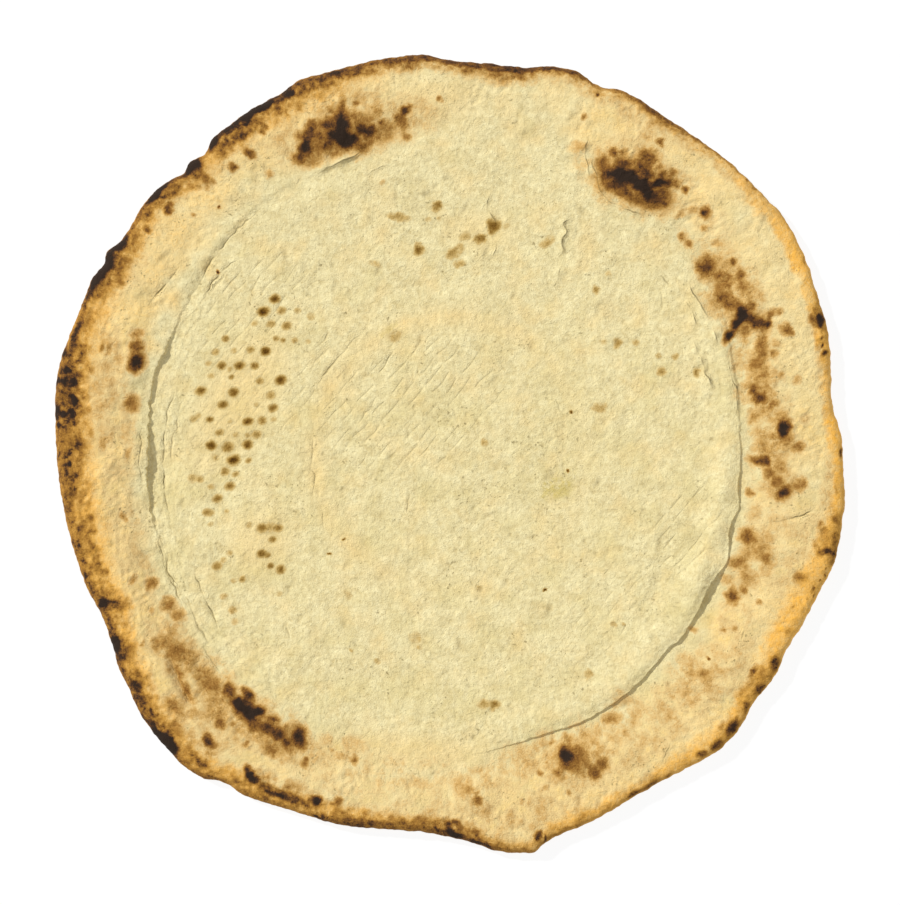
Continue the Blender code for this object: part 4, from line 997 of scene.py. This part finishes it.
def tone(red, green, blue):
    """A colour given as it looks on a screen, 0 to 255, as the linear colour that a shader takes."""
    shares = [level / 255 for level in (red, green, blue)]
    return [share / 12.92 if share <= 0.04 else ((share + 0.055) / 1.055) ** 2.4 for share in shares] + [1.0]


DOUGH_LIGHT = tone(248, 235, 183)
DOUGH_SHADE = tone(217, 199, 144)
PEACH = tone(247, 210, 136)
OLIVE = tone(205, 184, 104)
GOLD_AND_PAINTED_LIGHT = tone(255, 190, 78)
# The colour of the shade painted into cracks, furrows, wrinkles and pits.
PAINTED_SHADE_TONE = tone(140, 122, 76)
# As (browning, its colour, its colour on floury dough, which browns less orange).
BAKED = (
    (0.00, (236, 210, 152), (228, 210, 154)),
    (0.14, (226, 194, 131), (219, 195, 136)),
    (0.23, (216, 177, 111), (208, 179, 115)),
    (0.33, (201, 160, 92), (193, 162, 97)),
    (0.45, (180, 137, 71), (172, 140, 76)),
    (0.57, (158, 114, 53), (152, 118, 54)),
    (0.70, (134, 92, 38), (130, 96, 36)),
    (0.81, (107, 70, 35), (108, 74, 18)),
    (0.90, (80, 53, 31), (84, 54, 12)),
    (1.00, (50, 38, 29), (53, 38, 22)),
)
# Noises as (size of their grains in millimetres, detail, roughness, warp).
FINE_NOISE, GRAIN_NOISE, PATCH_NOISE = (0.6, 2, 0.6, 0), (1.4, 3, 0.62, 0.6), (5.0, 4, 0.6, 0.8)
# The next two place the dark speckles painted as the shade in tiny pits, and the patches they gather in.
SPECK_SHADE_NOISE, SPECK_SHADE_PATCH_NOISE = (1.2, 1, 0.5, 0), (14.0, 2, 0.6, 0)
# The dark line in a crease is painted shade.
CRACK_HALF_WIDTH = 0.26  # of the dark line in a crease, in millimetres
BUMP_HEIGHT = 0.58  # in millimetres
CRUST_ROUGHNESS, CRUST_SPECULAR = 0.85, 0.12


class Nodes:
    """Adds nodes to a material and joins them: a value is a number, a colour or another node's output."""

    def __init__(self, name):
        self.material = bpy.data.materials.new(name)
        self.material.use_nodes = True
        self.tree = self.material.node_tree
        self.shader = self.tree.nodes["Principled BSDF"]

    def put(self, socket, value):
        if isinstance(value, bpy.types.NodeSocket):
            self.tree.links.new(value, socket)
        else:
            socket.default_value = value

    def math(self, operation, *values):
        node = self.tree.nodes.new("ShaderNodeMath")
        node.operation = operation
        for socket, value in zip(node.inputs, values):
            self.put(socket, value)
        return node.outputs[0]

    def add(self, *values):
        return functools.reduce(functools.partial(self.math, "ADD"), values)

    def times(self, *values):
        return functools.reduce(functools.partial(self.math, "MULTIPLY"), values)

    def span(self, value, low, high, to_low=0.0, to_high=1.0, kind="LINEAR"):
        """The value's place between low and high, as a number from to_low to to_high."""
        node = self.tree.nodes.new("ShaderNodeMapRange")
        node.interpolation_type = kind
        for socket, given in zip(node.inputs, (value, low, high, to_low, to_high)):
            self.put(socket, given)
        return node.outputs[0]

    def mix(self, share, first, second):
        """Two colours, which are a Mix node's sockets 6 and 7, mixed: its output 2."""
        node = self.tree.nodes.new("ShaderNodeMix")
        node.data_type = "RGBA"
        self.put(node.inputs["Factor"], share)
        self.put(node.inputs[6], first)
        self.put(node.inputs[7], second)
        return node.outputs[2]

    def attribute(self, name):
        node = self.tree.nodes.new("ShaderNodeAttribute")
        node.attribute_name = name
        return node.outputs["Fac"]

    def noise(self, size, *character):
        """Noise whose grains are about this many millimetres across."""
        node = self.tree.nodes.new("ShaderNodeTexNoise")
        self.put(node.inputs["Vector"], self.tree.nodes.new("ShaderNodeTexCoord").outputs["Object"])
        node.inputs["Scale"].default_value = 1 / (size * MM)
        for socket, value in zip(("Detail", "Roughness", "Distortion"), character):
            node.inputs[socket].default_value = value
        return node.outputs["Fac"]

    def ramp(self, value, stops):
        node = self.tree.nodes.new("ShaderNodeValToRGB")
        elements = node.color_ramp.elements
        while len(elements) > 1:
            elements.remove(elements[-1])
        for k, (at, colour) in enumerate(stops):
            element = elements[0] if k == 0 else elements.new(at)
            element.position = at
            element.color = tone(*colour)
        self.put(node.inputs[0], value)
        return node.outputs[0]


def crust_material():
    crust = Nodes("baked_dough")
    browning, floury, dent_shade = (crust.attribute(name) for name in ("browning", "floury", "dent_shade"))
    fine, grains, patches = (crust.noise(*each) for each in (FINE_NOISE, GRAIN_NOISE, PATCH_NOISE))

    # Dough: light and shade in small and large patches, then its tints.
    mottling = crust.add(crust.times(patches, 0.40), crust.times(grains, 0.38), crust.times(fine, 0.22))
    dough = crust.mix(crust.span(mottling, 0.37, 0.62), DOUGH_SHADE, DOUGH_LIGHT)
    uneven = crust.span(grains, 0.3, 0.7, 0.5, 1.1)
    for tint, colour in (("peach", PEACH), ("olive", OLIVE)):
        dough = crust.mix(crust.times(crust.attribute(tint), uneven), dough, colour)

    # Browning, broken up by the same noises, most where it is neither pale nor charred.
    noises = ((grains, 0.15), (fine, 0.09), (patches, 0.12))
    broken = [crust.span(noise, 0.25, 0.75, -most, most) for noise, most in noises]
    room = crust.times(browning, crust.math("SUBTRACT", 1.15, browning), 3.4)
    strength = crust.add(browning, crust.times(crust.add(*broken), crust.math("MINIMUM", room, 1.0)))
    plain_ramp, floury_ramp = (
        crust.ramp(strength, [(row[0], row[column]) for row in BAKED]) for column in (1, 2)
    )
    baked = crust.mix(floury, plain_ramp, floury_ramp)
    colour = crust.mix(crust.span(strength, 0.02, 0.13, kind="SMOOTHSTEP"), dough, baked)
    # The golden edge: partly its toasted colour, partly painted light that brightens it, most where it turns
    # from the lamp.
    glow = crust.times(crust.attribute("glow"), crust.span(strength, 0.10, 0.90, 1.0, 0.0), uneven)
    glow = crust.times(glow, crust.span(patches, 0.35, 0.60, 0.70, 1.20))
    colour = crust.mix(glow, colour, GOLD_AND_PAINTED_LIGHT)

    # Painted shade: thin dark lines in the cracks and furrows, and shade in the dents and tiny pits, all lost
    # where the dough is browned.
    # The painted shade along the cracks' and furrows' lines, darkest on the line itself.
    off = crust.times(crust.attribute("crack_off"), 1 / CRACK_HALF_WIDTH)
    line = crust.math("POWER", math.exp(-1), crust.times(off, off))
    line = crust.times(line, crust.attribute("crack_shade"), crust.span(grains, 0.3, 0.6, 0.5, 1.2))
    shade = crust.math("MAXIMUM", crust.times(line, 0.60), crust.times(dent_shade, 0.50))
    # Dark speckles painted as the shade in tiny pits, gathered in patches.
    speck_shade = crust.span(crust.noise(*SPECK_SHADE_NOISE), 0.63, 0.76)
    speck_shade = crust.times(speck_shade, crust.span(crust.noise(*SPECK_SHADE_PATCH_NOISE), 0.45, 0.62, 0.0, 0.7))
    shade = crust.times(crust.math("MAXIMUM", shade, speck_shade), crust.span(strength, 0.15, 0.50, 1.0, 0.0))
    # The painted shade is mixed into the colour here.
    crust.put(crust.shader.inputs["Base Color"], crust.mix(shade, colour, PAINTED_SHADE_TONE))
    crust.shader.inputs["Roughness"].default_value = CRUST_ROUGHNESS
    crust.shader.inputs["Specular IOR Level"].default_value = CRUST_SPECULAR

    bump = crust.tree.nodes.new("ShaderNodeBump")
    bump.inputs["Strength"].default_value = 1.0
    bump.inputs["Distance"].default_value = BUMP_HEIGHT * MM
    layers = ((fine, 0.42), (grains, 0.70), (line, -0.4), (speck_shade, -0.3))
    crust.put(bump.inputs["Height"], crust.add(*(crust.times(layer, height) for layer, height in layers)))
    crust.put(crust.shader.inputs["Normal"], bump.outputs[0])
    return crust.material


# ---------------------------------------------------------------- floor, light and camera

FLOOR_SIZE = 12.0
FLOOR_GREY, FLOOR_GLOW = 0.12, 0.90  # a grey floor that glows looks white and still takes soft shadows
SUN_AZIMUTH, SUN_HEIGHT = 145.0, 40.0  # degrees from +X, and above the table
SUN_STRENGTH, SUN_SOFTNESS = 2.7, 4.0  # the second is the sun's width in degrees
SKY_STRENGTH = 0.50
WHITE = (1.0, 1.0, 1.0, 1.0)
CAMERA_HEIGHT = 1.2
CAMERA_FARTHER = 0.5  # millimetres beyond the middle of the base
SENSOR_WIDTH = 36.0
PICTURE_HEIGHT = 0.3448  # how much the picture covers, top to bottom, at the height where the base is widest


def build_floor():
    bpy.ops.mesh.primitive_plane_add(size=FLOOR_SIZE, location=(0, 0, 0))
    floor = bpy.context.object
    floor.name = "floor"
    table = Nodes("white_table")
    looks = {"Base Color": (*[FLOOR_GREY] * 3, 1.0), "Roughness": 1.0, "Specular IOR Level": 0.0}
    looks |= {"Emission Color": WHITE, "Emission Strength": FLOOR_GLOW}
    for socket, value in looks.items():
        table.shader.inputs[socket].default_value = value
    floor.data.materials.append(table.material)


def build_light():
    sun = bpy.data.lights.new("soft_lamp", "SUN")
    sun.energy = SUN_STRENGTH
    sun.angle = math.radians(SUN_SOFTNESS)
    lamp = bpy.data.objects.new("soft_lamp", sun)
    azimuth, height = math.radians(SUN_AZIMUTH), math.radians(SUN_HEIGHT)
    level = math.cos(height)
    towards = Vector((math.cos(azimuth) * level, math.sin(azimuth) * level, math.sin(height)))
    lamp.rotation_euler = towards.to_track_quat("Z", "Y").to_euler()
    bpy.context.scene.collection.objects.link(lamp)
    world = bpy.data.worlds.new("studio")
    world.use_nodes = True
    sky = world.node_tree.nodes["Background"]
    sky.inputs["Color"].default_value = WHITE
    sky.inputs["Strength"].default_value = SKY_STRENGTH
    bpy.context.scene.world = world


def build_camera(low, high):
    """Looks straight down on the middle of the base."""
    data = bpy.data.cameras.new("camera")
    data.sensor_width = SENSOR_WIDTH
    data.lens = SENSOR_WIDTH * (CAMERA_HEIGHT - SIDE_HEIGHT * MM) / PICTURE_HEIGHT
    camera = bpy.data.objects.new("camera", data)
    middle = (low + high) / 2
    camera.location = (middle.x, middle.y + CAMERA_FARTHER * MM, CAMERA_HEIGHT)
    bpy.context.scene.collection.objects.link(camera)
    bpy.context.scene.camera = camera


build_base(crust_material())
build_floor()
build_light()
build_camera(*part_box("pizza_base"))
bpy.context.scene.view_settings.view_transform = "Standard"
